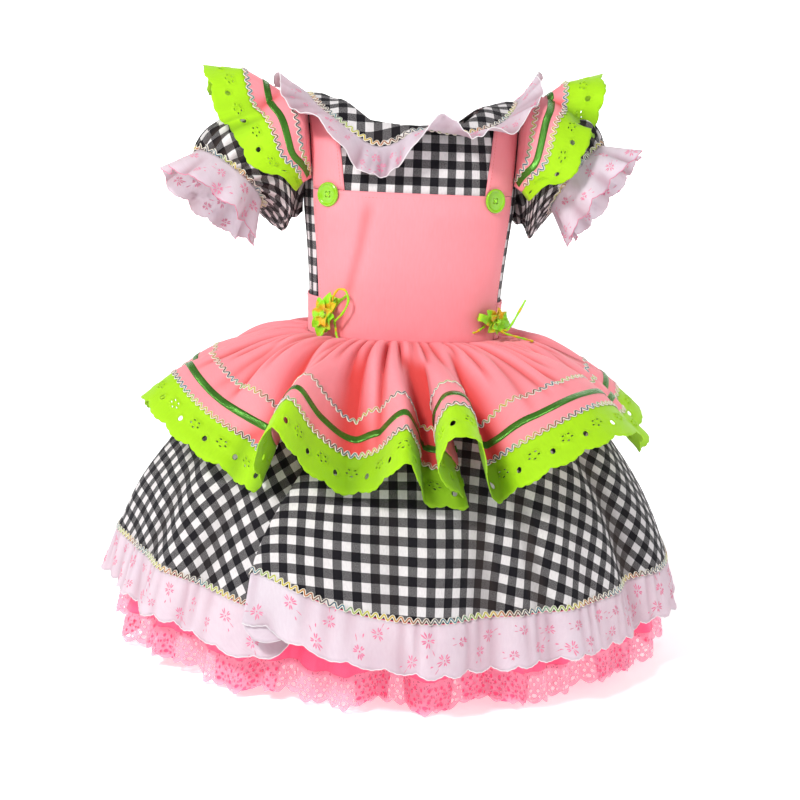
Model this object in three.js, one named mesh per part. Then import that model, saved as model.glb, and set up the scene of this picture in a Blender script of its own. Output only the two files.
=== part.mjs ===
// A girl's festa junina dress, worn form with no wearer: a gingham frock with puff sleeves, a gathered
// collar, a pinafore with flutter wings and a short overskirt, eyelet edgings, a lace hem and a petticoat.
// Millimetres, +Z up, front towards -Y. The origin is the middle of the neck, level with the shoulder seams.
import * as THREE from "three";

// ---------- driving dimensions ----------
const CLOTH = 1.4; // thickness of every cloth wall
const SEAM = 0.4; // gap between two pieces that are sewn edge to edge
const WAIST_Z = -241;
const BODY_POWER = 2.5; // roundness of the torso's sections: 2 is an ellipse, more is boxier
const UNDERARM_LEVEL = 0.55;
const SHOULDER_DROP = 11;

// Height of one layer of cloth above the torso's surface.
const LAYER = { pinafore: 2.0, collar: 5.2, button: 3.8 };

// The torso's sections, from the waist seam to the shoulder ridge.
const TORSO = [
  { level: 0.0, z: -241, halfWidth: 97, halfDepth: 76 },
  { level: 0.2, z: -195, halfWidth: 99, halfDepth: 78 },
  { level: 0.4, z: -150, halfWidth: 103, halfDepth: 81 },
  { level: 0.55, z: -105, halfWidth: 108, halfDepth: 81 },
  { level: 0.7, z: -66, halfWidth: 110, halfDepth: 76 },
  { level: 0.82, z: -38, halfWidth: 111, halfDepth: 66 },
  { level: 0.9, z: -20, halfWidth: 112, halfDepth: 53 },
  { level: 0.96, z: -8, halfWidth: 113, halfDepth: 33 },
  { level: 1.0, z: -3, halfWidth: 114, halfDepth: 0.3 },
];

// Edge of the bodice panels at the side seam and round the armhole, as an angle from the front or back centre.
const ARMHOLE = [
  { level: 0.0, angle: 90 },
  { level: 0.44, angle: 90 },
  { level: 0.5, angle: 90 },
  { level: 0.56, angle: 87.5 },
  { level: 0.63, angle: 77 },
  { level: 0.72, angle: 71 },
  { level: 0.85, angle: 70 },
  { level: 1.0, angle: 72 },
];

// Upright lines of a bodice panel, as angles from its centre: below the bust, and at its top edge.
// The third line ends at the corner of the neckline, and the straps lie between it and the fifth.
const PANEL_LINES = [
  { low: 0, top: 0, neck: 1.0 },
  { low: 17, top: 21, neck: 0.86 },
  { low: 34.4, top: 41.5, neck: 0 },
  { low: 48, top: 54, neck: 0 },
  { low: 61.3, top: 66.7, neck: 0 },
];
const STRAP_LINES = [2, 3, 4];
const SIDE_LINE = 6; // the side seam and armhole edge; line 5 runs half way to it
const PANEL_LEVELS = [1, 0.95, 0.88, 0.78, 0.68, 0.6, 0.55, 0.38, 0.18, 0];
const BIB_LEVELS = [0.6, 0.55, 0.38, 0.18, 0.006];
const BUST_LEVEL = 0.6;
const BAND_LEVEL = 0.18;
const NECK_DIP = { front: 0.155, back: 0.17 }; // how far the neckline's centre lies below the shoulders

// Down the gingham skirt, from the waist seam to the hem.
const SKIRT = [
  { down: 0.0, halfWidth: 97.4, halfDepth: 76.4, z: -242.9 },
  { down: 0.18, halfWidth: 126, halfDepth: 108, z: -253 },
  { down: 0.4, halfWidth: 176, halfDepth: 162, z: -284 },
  { down: 0.6, halfWidth: 221, halfDepth: 208, z: -329 },
  { down: 0.8, halfWidth: 262, halfDepth: 249, z: -383 },
  { down: 1.0, halfWidth: 292, halfDepth: 280, z: -440 },
];

// Inward folds of the skirt, growing towards the hem.
const SKIRT_FOLDS = [
  { angle: -32, depth: 16, width: 4 },
  { angle: 24, depth: 12, width: 4 },
  { angle: 52, depth: 18, width: 6 },
  { angle: -62, depth: 16, width: 7 },
  { angle: 92, depth: 17, width: 8 },
  { angle: -95, depth: 18, width: 7 },
  { angle: 124, depth: 21, width: 6 },
  { angle: -128, depth: 19, width: 6 },
  { angle: 156, depth: 17, width: 5 },
  { angle: -158, depth: 22, width: 6 },
];
// Where the skirt's front meets its left side in a deep fold: the front's hem lifts and the side's drops.
const LAP = { angle: -28, lift: 26, liftWidth: 9, drop: 8, dropWidth: 9 };
const FRONT_DROP = 23; // how much lower the skirt's hem hangs in front
const SKIRT_SWAY = 5; // gentle waves between the folds
const SKIRT_SWAYS = 12;

const HEM_RUFFLE = { drop: 46, flare: 13, waves: 24, wave: 2.6, scallop: 2.2 };

const PETTICOAT = [
  { down: 0.0, halfWidth: 95.5, halfDepth: 74.5, z: -244.2 },
  { down: 0.45, halfWidth: 196, halfDepth: 176, z: -338 },
  { down: 1.0, halfWidth: 281, halfDepth: 256, z: -514 },
];
const PETTICOAT_DROP = 8;
const PETTICOAT_PLEATS = 48;
const PETTICOAT_PLEAT = 6.5;
const PETTICOAT_LACE = { drop: 32, flare: 4, scallop: 2.4 };

// The overskirt falls from the waist as an arc whose slope steepens, and stands out where it flutes.
const PEPLUM = {
  length: 131, longer: 33, topZ: -240.7, topOut: 5.3, slopeTop: 2, slopeHem: 60, deeper: 1.09, gather: 1.9,
  lace: 40, laceSlope: 45, laceFollows: 0.3, scallop: 2.4, clearOfSkirt: 8.5, gathered: 20,
};
// At each flute and hollow of its hem: degrees by which the cloth stands out (or hangs in, below 0),
// and by which it swings round to one side.
const PEPLUM_FLUTES = [
  { angle: -180, lift: 12, shift: 0 },
  { angle: -167, lift: -9, shift: 0 },
  { angle: -153, lift: 17, shift: 0 },
  { angle: -139, lift: -10, shift: 0 },
  { angle: -126, lift: 16, shift: 0 },
  { angle: -112, lift: -9, shift: 0 },
  { angle: -98, lift: 17, shift: 0 },
  { angle: -86, lift: 6, shift: 0 },
  { angle: -73, lift: 26, shift: 0 },
  { angle: -60, lift: 12, shift: 0 },
  { angle: -47, lift: -6, shift: 0 },
  { angle: -36.5, lift: -22, shift: 3.0 },
  { angle: -31.5, lift: 6, shift: -0.4 },
  { angle: -26.5, lift: 31, shift: 1.2 },
  { angle: -21, lift: 8, shift: 0.8 },
  { angle: -15, lift: -12, shift: 2.4 },
  { angle: -9, lift: -4, shift: 2.2 },
  { angle: -4, lift: 17, shift: 2.8 },
  { angle: -1.6, lift: 2, shift: 4.6 },
  { angle: 0.4, lift: -18, shift: 5.6 },
  { angle: 2.2, lift: 10, shift: -0.4 },
  { angle: 3.5, lift: 29, shift: -1.2 },
  { angle: 5.0, lift: 34, shift: 0.4 },
  { angle: 6.6, lift: 28, shift: 2.7 },
  { angle: 8.3, lift: 4, shift: 4.6 },
  { angle: 11.2, lift: -16, shift: 6.6 },
  { angle: 15, lift: -9, shift: 4.6 },
  { angle: 19, lift: 3, shift: 2.6 },
  { angle: 28, lift: 18, shift: 0.6 },
  { angle: 38, lift: 27, shift: 0 },
  { angle: 48, lift: 24, shift: 0 },
  { angle: 58, lift: 6, shift: 0 },
  { angle: 68, lift: 10, shift: 0 },
  { angle: 79, lift: -2, shift: 0 },
  { angle: 92, lift: 16, shift: 0 },
  { angle: 105, lift: -9, shift: 0 },
  { angle: 118, lift: 16, shift: 0 },
  { angle: 132, lift: -10, shift: 0 },
  { angle: 146, lift: 17, shift: 0 },
  { angle: 163, lift: -9, shift: 0 },
  { angle: 180, lift: 12, shift: 0 },
];

// Outer edge of the collar, by angle round the neck from the front.
const COLLAR_EDGE = [
  { angle: 0, x: 0, y: -78, z: -43 },
  { angle: 30, x: 42, y: -75, z: -39 },
  { angle: 60, x: 83, y: -56, z: -21 },
  { angle: 90, x: 107, y: -4, z: 3 },
  { angle: 120, x: 86, y: 48, z: -12 },
  { angle: 150, x: 44, y: 73, z: -40 },
  { angle: 180, x: 0, y: 80, z: -49 },
];
// The collar hangs lower to the left of the front's middle than to its right.
const COLLAR_SAG = [
  { angle: -180, rise: 0 },
  { angle: -80, rise: 0 },
  { angle: -58, rise: 0.5 },
  { angle: -42, rise: -5 },
  { angle: -27, rise: -9 },
  { angle: -12, rise: -3 },
  { angle: 0, rise: 7 },
  { angle: 20, rise: 8 },
  { angle: 45, rise: 4 },
  { angle: 70, rise: 0 },
  { angle: 180, rise: 0 },
];
// Where the ruffle below that edge points, as a slope out and down.
const NECK_RUFFLE = {
  waves: 15,
  wave: 5,
  fall: [
    { angle: -180, out: 0.42, down: 0.9, width: 38 },
    { angle: -150, out: 0.5, down: 0.82, width: 38 },
    { angle: -120, out: 0.86, down: 0.12, width: 38 },
    { angle: -90, out: 0.95, down: -0.4, width: 38 },
    { angle: -68, out: 0.95, down: 0.0, width: 34 },
    { angle: -52, out: 0.85, down: 0.35, width: 34 },
    { angle: -38, out: 0.45, down: 0.9, width: 36 },
    { angle: -22, out: 0.36, down: 0.95, width: 36 },
    { angle: -8, out: 0.45, down: 0.88, width: 36 },
    { angle: 1, out: 0.92, down: 0.2, width: 30 },
    { angle: 10, out: 0.95, down: -0.45, width: 30 },
    { angle: 28, out: 0.98, down: -0.08, width: 30 },
    { angle: 52, out: 0.97, down: 0.0, width: 32 },
    { angle: 70, out: 0.8, down: -0.5, width: 36 },
    { angle: 90, out: 0.6, down: -0.85, width: 38 },
    { angle: 120, out: 0.8, down: -0.05, width: 38 },
    { angle: 150, out: 0.5, down: 0.82, width: 38 },
    { angle: 180, out: 0.42, down: 0.9, width: 38 },
  ],
};

// The flutter wing along the strap's outer edge, from its front end over the shoulder to its back end.
const WING = [
  { run: 0.0, width: 12, lace: 15, out: 0.62, forward: 0.6, up: -0.3 },
  { run: 0.18, width: 40, lace: 34, out: 0.8, forward: 0.55, up: 0.1 },
  { run: 0.35, width: 64, lace: 39, out: 0.88, forward: 0.28, up: 0.42 },
  { run: 0.5, width: 78, lace: 40, out: 0.86, forward: 0.0, up: 0.54 },
  { run: 0.65, width: 64, lace: 39, out: 0.88, forward: -0.28, up: 0.42 },
  { run: 0.82, width: 40, lace: 34, out: 0.8, forward: -0.55, up: 0.1 },
  { run: 1.0, width: 12, lace: 15, out: 0.62, forward: -0.6, up: -0.3 },
];
const WING_LEVELS = { front: 0.64, back: 0.58 }; // levels on the torso where it starts and ends
const WING_RISE = 2.5; // height of its sewn edge above the bodice
const WING_BESIDE = 2.1; // and its distance from the strap
const WING_SET = { left: { reach: 1, rise: 0 }, right: { reach: 0.8, rise: 0.22 } }; // they differ a little
const WING_WAVES = 5;
const WING_WAVE = 5;
const WING_ARCH = 9;
const WING_CLEAR = 8; // how far its edge stays from the sleeve

// Puff sleeves: sections from the armhole to the cuff, each with its own centre and size.
const SLEEVES = [
  { side: -1, name: "left", cuff: { x: -186, y: -14, z: -84 }, facing: { x: -0.56, y: -0.3, z: -0.77 } },
  { side: 1, name: "right", cuff: { x: 171, y: -20, z: -70 }, facing: { x: 0.76, y: -0.3, z: -0.57 } },
];
const SLEEVE_ROWS = [
  { run: 0.0, puff: 0 },
  { run: 0.08, puff: 0.42 },
  { run: 0.25, puff: 0.85 },
  { run: 0.5, puff: 1.0 },
  { run: 0.75, puff: 0.82 },
  { run: 0.93, puff: 0.34 },
  { run: 1.0, puff: 0 },
];
const SLEEVE = { puffOut: 23, cuffRadius: 41, gathers: 12, gather: 2.6 };
const CUFF_RUFFLE = { width: 38, flare: 15, waves: 9, wave: 6 };
const SLEEVE_INSIDE = { x: 99, z: -60 }; // centre of the armhole

const BUTTON = { radius: 12.2, thick: 3.2 };
const BUTTONS = [
  { name: "left", x: -83, z: -96 },
  { name: "right", x: 78, z: -96 },
];
const BACK_BUTTON = { radius: 5.5, thick: 2.2, heights: [-72, -122, -172] };

// Waist flowers: a gathered rosette with two ribbon loops and two tails each, turned in the plane of the bib.
const FLOWERS = [
  { name: "left", x: -76, z: -214, turn: 70, sink: 0 },
  { name: "right", x: 79, z: -216, turn: -12, sink: 1.5 },
];
const ROSETTE = { radius: 16, eye: 2.5, petals: 8, fold: 1.6, rise: 3 };
const RIBBON = { width: 8, loop: 20, puff: 4.5, tail: 27, thick: 0.9 };

// ---------- small tools ----------
const rad = THREE.MathUtils.degToRad;
const V = (x, y, z) => new THREE.Vector3(x, y, z);
const smooth = (a, b, x) => THREE.MathUtils.smoothstep(x, a, b);

// Reads a table of rows at one value of its key column, on a smooth curve through the rows.
function read(rows, key, at, column) {
  let i = rows.findIndex((row) => row[key] >= at);
  if (i < 0) i = rows.length - 1;
  i = Math.max(1, i);
  const [a, b] = [rows[i - 1], rows[i]];
  const before = rows[Math.max(0, i - 2)];
  const after = rows[Math.min(rows.length - 1, i + 1)];
  const span = b[key] - a[key];
  const t = THREE.MathUtils.clamp((at - a[key]) / span, 0, 1);
  const slopeA = (b[column] - before[column]) / (b[key] - before[key]);
  const slopeB = (after[column] - a[column]) / (after[key] - a[key]);
  const [t2, t3] = [t * t, t * t * t];
  return (
    (2 * t3 - 3 * t2 + 1) * a[column] + (t3 - 2 * t2 + t) * span * slopeA +
    (3 * t2 - 2 * t3) * b[column] + (t3 - t2) * span * slopeB
  );
}

// A point of an oval section. Angle 0 is the front centre and 90 is +X.
function oval(angle, halfWidth, halfDepth, z, power = 2) {
  const [s, c] = [Math.sin(rad(angle)), Math.cos(rad(angle))];
  const shape = (v) => Math.sign(v) * Math.abs(v) ** (2 / power);
  return V(halfWidth * shape(s), -halfDepth * shape(c), z);
}

function torsoRow(level) {
  const at = (column) => read(TORSO, "level", level, column);
  return { z: at("z"), halfWidth: at("halfWidth"), halfDepth: at("halfDepth") };
}

// The shoulders fall away outside the neck.
function shoulderDrop(x, level) {
  return SHOULDER_DROP * smooth(66, 110, Math.abs(x)) * smooth(0.75, 1, level);
}

function torsoAt(angle, level) {
  const row = torsoRow(level);
  const p = oval(angle, row.halfWidth, row.halfDepth, row.z, BODY_POWER);
  p.z -= shoulderDrop(p.x, level);
  return p;
}

// The torso's surface above a given x, on its front (face -1) or back (face 1).
function torsoAtX(x, level, face) {
  const row = torsoRow(level);
  const share = Math.min(1, Math.abs(x) / row.halfWidth);
  const y = face * row.halfDepth * (1 - share ** BODY_POWER) ** (1 / BODY_POWER);
  return V(x, y, row.z - shoulderDrop(x, level));
}

function torsoNormal(angle, level) {
  const at = Math.min(level, 0.985);
  const across = torsoAt(angle + 1, at).sub(torsoAt(angle - 1, at));
  const down = torsoAt(angle, Math.max(0, at - 0.01)).sub(torsoAt(angle, at + 0.01));
  const n = across.cross(down).normalize();
  const outward = torsoAt(angle, at).sub(V(0, 0, -130));
  return n.dot(outward) < 0 ? n.negate() : n;
}

function levelOfZ(z) {
  let [low, high] = [0, 1];
  for (let i = 0; i < 30; i++) {
    const mid = (low + high) / 2;
    if (torsoRow(mid).z < z) low = mid;
    else high = mid;
  }
  return low;
}

// ---------- walls of cloth ----------
// A grid is an array of rows, from the top edge to the bottom, each an array of points that run from -X to +X
// at the front.
function makeGrid(columns, rows, point, closed = false) {
  const count = closed ? columns : columns + 1;
  return Array.from({ length: rows + 1 }, (_, j) =>
    Array.from({ length: count }, (_, i) => point(i / columns, j / rows, i, j)),
  );
}

function gridNormals(grid, closed) {
  const last = grid[0].length - 1;
  return grid.map((row, j) =>
    row.map((_, i) => {
      const next = closed ? (i + 1) % (last + 1) : Math.min(last, i + 1);
      const prev = closed ? (i + last) % (last + 1) : Math.max(0, i - 1);
      const across = row[next].clone().sub(row[prev]);
      const up = grid[Math.max(0, j - 1)][i];
      const down = grid[Math.min(grid.length - 1, j + 1)][i].clone().sub(up);
      return down.cross(across).normalize();
    }),
  );
}

// The normals of a front or back half, with its side edges square to the seam.
function halfNormals(grid) {
  const normals = gridNormals(grid, false);
  for (const row of normals)
    for (const n of [row[0], row[row.length - 1]]) n.setY(0).normalize();
  return normals;
}

function solidFrom(vertices, triangles) {
  let volume = 0;
  for (const [a, b, c] of triangles)
    volume += vertices[a].dot(vertices[b].clone().cross(vertices[c]));
  const index = triangles.flatMap(([a, b, c]) => (volume > 0 ? [a, b, c] : [a, c, b]));
  const geometry = new THREE.BufferGeometry();
  geometry.setAttribute(
    "position",
    new THREE.Float32BufferAttribute(vertices.flatMap((v) => v.toArray()), 3),
  );
  geometry.setIndex(index);
  geometry.computeVertexNormals();
  return geometry;
}

// The closed wall between two offsets of a grid. hole(i, j) gives the size of a cut in a cell, from 0 to 1.
function wall(grid, { from = 0, to = CLOTH, closed = false, hole = () => 0, normals = null } = {}) {
  const n = normals ?? gridNormals(grid, closed);
  const vertices = [];
  const triangles = [];
  const add = (v) => vertices.push(v) - 1;
  const side = (offset) =>
    grid.map((row, j) => row.map((p, i) => add(p.clone().addScaledVector(n[j][i], offset))));
  const sides = [side(from), side(to)];
  const columns = grid[0].length;
  const cells = closed ? columns : columns - 1;
  const rows = grid.length - 1;
  const quad = (a, b, c, d, flip) => {
    const [p, q, r, s] = flip ? [a, d, c, b] : [a, b, c, d];
    triangles.push([p, q, r], [p, r, s]);
  };
  for (let j = 0; j < rows; j++) {
    for (let i = 0; i < cells; i++) {
      const next = (i + 1) % columns;
      const size = hole(i, j);
      const rings = sides.map((face, k) => {
        const corners = [face[j][i], face[j][next], face[j + 1][next], face[j + 1][i]];
        if (!size) {
          quad(...corners, k === 1);
          return null;
        }
        const middle = corners.reduce((sum, c) => sum.add(vertices[c]), V(0, 0, 0)).multiplyScalar(0.25);
        const ring = corners.map((c) => add(vertices[c].clone().lerp(middle, 1 - size)));
        corners.forEach((c, m) =>
          quad(c, corners[(m + 1) % 4], ring[(m + 1) % 4], ring[m], k === 1),
        );
        return ring;
      });
      if (size) rings[0].forEach((a, m) => quad(a, rings[0][(m + 1) % 4], rings[1][(m + 1) % 4], rings[1][m]));
    }
  }
  for (let i = 0; i < cells; i++) {
    const next = (i + 1) % columns;
    quad(sides[0][0][next], sides[0][0][i], sides[1][0][i], sides[1][0][next]);
    quad(sides[0][rows][i], sides[0][rows][next], sides[1][rows][next], sides[1][rows][i]);
  }
  if (!closed)
    for (let j = 0; j < rows; j++) {
      const end = columns - 1;
      quad(sides[0][j][0], sides[0][j + 1][0], sides[1][j + 1][0], sides[1][j][0]);
      quad(sides[0][j + 1][end], sides[0][j][end], sides[1][j][end], sides[1][j + 1][end]);
    }
  return solidFrom(vertices, triangles);
}

// ---------- materials ----------
const finish = (color, roughness = 0.85) => new THREE.MeshStandardMaterial({ color, roughness, metalness: 0 });
const GINGHAM = finish(0x8c8a8e);
const SALMON = finish(0xff7f88);
const LIME = finish(0xb4ee10);
const WHITE_LACE = finish(0xf4e3ea);
const TULLE = finish(0xff7fb4);
const PLASTIC = finish(0x9be02a, 0.3);
const DARK_PLASTIC = finish(0x2a2a2c, 0.3);
const SATIN = finish(0xa8e010, 0.4);

const dress = new THREE.Group();
function sew(name, geometry, material) {
  const mesh = new THREE.Mesh(geometry, material);
  mesh.name = name;
  dress.add(mesh);
  return mesh;
}

// ---------- bodice ----------
function lineAngle(line, level) {
  const edge = read(ARMHOLE, "level", level, "angle");
  if (line === SIDE_LINE) return edge;
  if (line === SIDE_LINE - 1) return (edge + lineAngle(SIDE_LINE - 2, level)) / 2;
  const rise = Math.max(0, (level - BUST_LEVEL) / (1 - BUST_LEVEL));
  return THREE.MathUtils.lerp(PANEL_LINES[line].low, PANEL_LINES[line].top, rise);
}

// A point of the bodice and the way that it faces. A line below 0 is on the -X side.
function bodiceAt(line, up, face) {
  const dip = (face < 0 ? NECK_DIP.front : NECK_DIP.back) * (PANEL_LINES[Math.abs(line)]?.neck ?? 0);
  const level = up <= BUST_LEVEL ? up : BUST_LEVEL + (up - BUST_LEVEL) * (1 - dip / (1 - BUST_LEVEL));
  const angle = Math.sign(line) * lineAngle(Math.abs(line), level);
  const p = torsoAt(angle, level);
  const n = torsoNormal(angle, level);
  return face < 0 ? { p, n } : { p: V(p.x, -p.y, p.z), n: V(n.x, -n.y, n.z) };
}

// Builds a wall from rows of { p, n } spots.
function wallOf(spots, from, to) {
  const grid = spots.map((row) => row.map((spot) => spot.p));
  const normals = spots.map((row) => row.map((spot) => spot.n));
  return wall(grid, { from, to, normals });
}

const count = (from, to) =>
  Array.from({ length: Math.abs(to - from) + 1 }, (_, i) => from + Math.sign(to - from) * i);
const moved = ({ p, n }, shift) => ({ p: p.clone().add(shift), n });

function makeBodice() {
  const lines = count(-SIDE_LINE, SIDE_LINE);
  const front = PANEL_LEVELS.map((up) => lines.map((line) => bodiceAt(line, up, -1)));
  sew("bodice_front", wallOf(front, 0, CLOTH), GINGHAM);
  const sideGap = V(0, SEAM, 0);
  for (const [name, side] of [["right", 1], ["left", -1]]) {
    const half = count(0, SIDE_LINE);
    const openGap = V(side * SEAM / 2, 0, 0);
    const spots = PANEL_LEVELS.map((up) =>
      half.map((line) => moved(bodiceAt(side * line, up, 1), line ? sideGap : openGap.clone().add(sideGap))));
    sew("bodice_back_" + name, wallOf(spots, 0, CLOTH), GINGHAM);
  }
}

// ---------- sleeves ----------
// The armhole's edge, from the shoulder tip down its front and up its back. Turn runs from 0 to 1.
function armholeSpot(side, turn) {
  const face = turn < 0.5 ? -1 : 1;
  const drop = face < 0 ? turn * 2 : (1 - turn) * 2;
  const level = 1 - ((1 - UNDERARM_LEVEL) * (1 - Math.cos(Math.PI * drop))) / 2;
  const below = PANEL_LEVELS.findIndex((up) => up <= level);
  const [high, low] = [PANEL_LEVELS[Math.max(0, below - 1)], PANEL_LEVELS[below]];
  const share = high > low ? (level - low) / (high - low) : 0;
  const [a, b] = [bodiceAt(side * SIDE_LINE, low, face), bodiceAt(side * SIDE_LINE, high, face)];
  return { p: a.p.lerp(b.p, share), n: a.n.lerp(b.n, share) };
}

function cuffRing({ side, cuff, facing }) {
  const n = V(facing.x, facing.y, facing.z).normalize();
  const up = V(0, 0, 1).addScaledVector(n, -n.z).normalize();
  const front = V(0, -1, 0).addScaledVector(n, n.y);
  front.addScaledVector(up, -front.dot(up)).normalize();
  const centre = V(cuff.x, cuff.y, cuff.z);
  const at = (turn, radius, along = 0) =>
    centre.clone()
      .addScaledVector(up, radius * Math.cos(2 * Math.PI * turn))
      .addScaledVector(front, radius * Math.sin(2 * Math.PI * turn))
      .addScaledVector(n, along);
  return { at, n, side };
}

function sleeveMiddle(sleeve, run) {
  const { x, y, z } = sleeve.cuff;
  return V(sleeve.side * SLEEVE_INSIDE.x, 0, SLEEVE_INSIDE.z).lerp(V(x, y, z), run);
}

function sleevePoint(sleeve, turn, run) {
  const middle = sleeveMiddle(sleeve, run);
  const { p: start, n } = armholeSpot(sleeve.side, turn);
  const outwards = V(0, start.y, start.z - SLEEVE_INSIDE.z).normalize();
  const beside = SEAM + CLOTH * Math.abs(n.x);
  start.addScaledVector(outwards, -SEAM).add(V(sleeve.side * beside, 0, 0));
  const end = cuffRing(sleeve).at(turn, SLEEVE.cuffRadius);
  const puff = SLEEVE.puffOut * read(SLEEVE_ROWS, "run", run, "puff");
  const wave = Math.cos(2 * Math.PI * turn * SLEEVE.gathers);
  const gather = SLEEVE.gather * wave * smooth(0.35, 1, run) * (1.15 - run);
  const p = start.lerp(end, run);
  const out = p.clone().sub(middle).normalize();
  return p.addScaledVector(out, puff + gather);
}

function makeSleeves() {
  const columns = 24;
  for (const sleeve of SLEEVES) {
    const direction = (turn) => (sleeve.side < 0 ? turn : 1 - turn);
    const rows = SLEEVE_ROWS.length - 1;
    const spot = (u, _, __, j) => sleevePoint(sleeve, direction(u) % 1, SLEEVE_ROWS[j].run);
    const grid = makeGrid(columns, rows, spot, true);
    sew("sleeve_" + sleeve.name, wall(grid, { closed: true, from: -CLOTH, to: 0 }), GINGHAM);

    const ring = cuffRing(sleeve);
    const ruffle = makeGrid(36, 1, (u, v) => {
      const turn = direction(u) % 1;
      const wave = CUFF_RUFFLE.wave * v * Math.sin(2 * Math.PI * CUFF_RUFFLE.waves * turn);
      return ring.at(turn, SLEEVE.cuffRadius + CUFF_RUFFLE.flare * v + wave, 2 * SEAM + CUFF_RUFFLE.width * v);
    }, true);
    sew("cuff_ruffle_" + sleeve.name, wall(ruffle, { closed: true }), WHITE_LACE);
  }
}

// ---------- pinafore: bib, waistband, straps, wings ----------
const LOW = LAYER.pinafore;
const HIGH = LAYER.pinafore + CLOTH;

function makeBib() {
  const edge = SIDE_LINE - 2;
  const spots = BIB_LEVELS.map((up) => count(-edge, edge).map((line) => bodiceAt(line, up, -1)));
  sew("bib", wallOf(spots, LOW, HIGH), SALMON);
}

function makeWaistband() {
  const edge = SIDE_LINE - 2;
  for (const [name, side] of [["right", 1], ["left", -1]]) {
    const spots = [BAND_LEVEL, 0.006].map((up) => {
      const front = count(edge, SIDE_LINE).map((line) => bodiceAt(side * line, up, -1));
      const back = count(SIDE_LINE - 1, 0).map((line) => bodiceAt(side * line, up, 1));
      front[0] = moved(front[0], V(side * SEAM, SEAM, 0));
      back[back.length - 1] = moved(back[back.length - 1], V(side * SEAM / 2, 0, 0));
      return [...front, ...back];
    });
    sew("waistband_" + name, wallOf(spots, LOW, HIGH), SALMON);
  }
}

function shoulderSpot(side, line) {
  const [front, back] = [bodiceAt(side * line, 1, -1), bodiceAt(side * line, 1, 1)];
  return { p: front.p.lerp(back.p, 0.5), n: front.n.add(back.n).normalize() };
}

function makeStraps() {
  const front = PANEL_LEVELS.filter((up) => up < 1 && up >= BUST_LEVEL).reverse();
  const back = PANEL_LEVELS.filter((up) => up < 1 && up >= BAND_LEVEL);
  for (const [name, side] of [["left", -1], ["right", 1]]) {
    const rowOf = (up, face) => STRAP_LINES.map((line) => bodiceAt(side * line, up, face));
    const lifted = (row) => row.map((spot) => moved(spot, V(0, 0, SEAM)));
    const spots = [
      ...front.map((up, k) => (k ? rowOf(up, -1) : lifted(rowOf(up, -1)))),
      STRAP_LINES.map((line) => shoulderSpot(side, line)),
      ...back.map((up) => (up > BAND_LEVEL ? rowOf(up, 1) : lifted(rowOf(up, 1)))),
    ];
    sew("strap_" + name, wallOf(spots, LOW, HIGH), SALMON);
  }
}

// Pushes a point out of the puff of its sleeve, so that the wing lies over it.
function clearOfSleeve(p, sleeve, margin) {
  const reachX = Math.abs(sleeve.cuff.x) - SLEEVE_INSIDE.x;
  const run = THREE.MathUtils.clamp((Math.abs(p.x) - SLEEVE_INSIDE.x) / reachX, 0, 1);
  const middle = sleeveMiddle(sleeve, run);
  const d = p.clone().sub(middle);
  const turn = (Math.atan2(-d.y, d.z) / (2 * Math.PI) + 1) % 1;
  const least = sleevePoint(sleeve, turn, run).distanceTo(middle) + margin;
  return d.length() < least ? d.setLength(least).add(middle) : p;
}

// The sewn edge of a wing, beside the strap's outer edge.
function wingBase(side, run) {
  const spotAt = (climb) => {
    const face = climb < 0.5 ? -1 : 1;
    const share = face < 0 ? climb * 2 : (1 - climb) * 2;
    const up = THREE.MathUtils.lerp(face < 0 ? WING_LEVELS.front : WING_LEVELS.back, 0.99, share);
    return bodiceAt(side * (SIDE_LINE - 2), up, face);
  };
  const spot = Math.abs(run - 0.5) < 0.02 ? shoulderSpot(side, SIDE_LINE - 2) : spotAt(run);
  return spot.p.addScaledVector(spot.n, WING_RISE).add(V(side * WING_BESIDE, 0, 0));
}

function wingPoint(sleeve, run, out) {
  const side = sleeve.side;
  const at = (column) => read(WING, "run", run, column);
  const { reach, rise } = WING_SET[sleeve.name];
  const fall = V(side * at("out"), -at("forward"), at("up") + rise * (at("width") / 80) ** 2).normalize();
  const length = at("width") * out * reach;
  const wave = WING_WAVE * Math.sin(2 * Math.PI * WING_WAVES * run) * out;
  const arch = -WING_ARCH * (length / 90) ** 2;
  const p = wingBase(side, run).addScaledVector(fall, length).add(V(0, 0, arch + wave));
  return out > 0 ? clearOfSleeve(p, sleeve, WING_CLEAR * (0.6 + 0.4 * out)) : p;
}

function makeWings() {
  const columns = 26;
  for (const sleeve of SLEEVES) {
    // Columns run along the strap and rows run outwards.
    const direction = (u) => (sleeve.side > 0 ? u : 1 - u);
    const cloth = makeGrid(columns, 3, (u, v) => wingPoint(sleeve, direction(u), v));
    sew("wing_" + sleeve.name, wall(cloth), SALMON);
    const lace = makeGrid(columns, 1, (u, v) => {
      const run = direction(u);
      const edge = wingPoint(sleeve, run, 1);
      const fall = edge.clone().sub(wingPoint(sleeve, run, 0.85)).normalize().add(V(0, 0, -0.4)).normalize();
      const width = read(WING, "run", run, "lace");
      const p = edge.clone().addScaledVector(fall, SEAM + width * v);
      return v > 0 ? clearOfSleeve(p, sleeve, WING_CLEAR) : p;
    });
    const eyelet = (i) => (i % 4 === 2 && i > 2 && i < columns - 4 ? 0.36 : 0);
    sew("wing_lace_" + sleeve.name, wall(lace, { hole: eyelet }), LIME);
  }
}

// ---------- collar ----------
function neckPoint(angle) {
  const turned = ((angle + 180) % 360 + 360) % 360 - 180;
  const face = Math.abs(turned) > 90 ? 1 : -1;
  const fromCentre = face > 0 ? 180 - Math.abs(turned) : Math.abs(turned);
  // The neckline's own points at its centre, its middle and its corner, joined straight.
  const share = Math.sin(rad(fromCentre)) * 2;
  const line = Math.min(1, Math.floor(share));
  const p = bodiceAt(line, 1, face).p.lerp(bodiceAt(line + 1, 1, face).p, share - line);
  return V(Math.sign(turned) * p.x, p.y, p.z);
}

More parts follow.
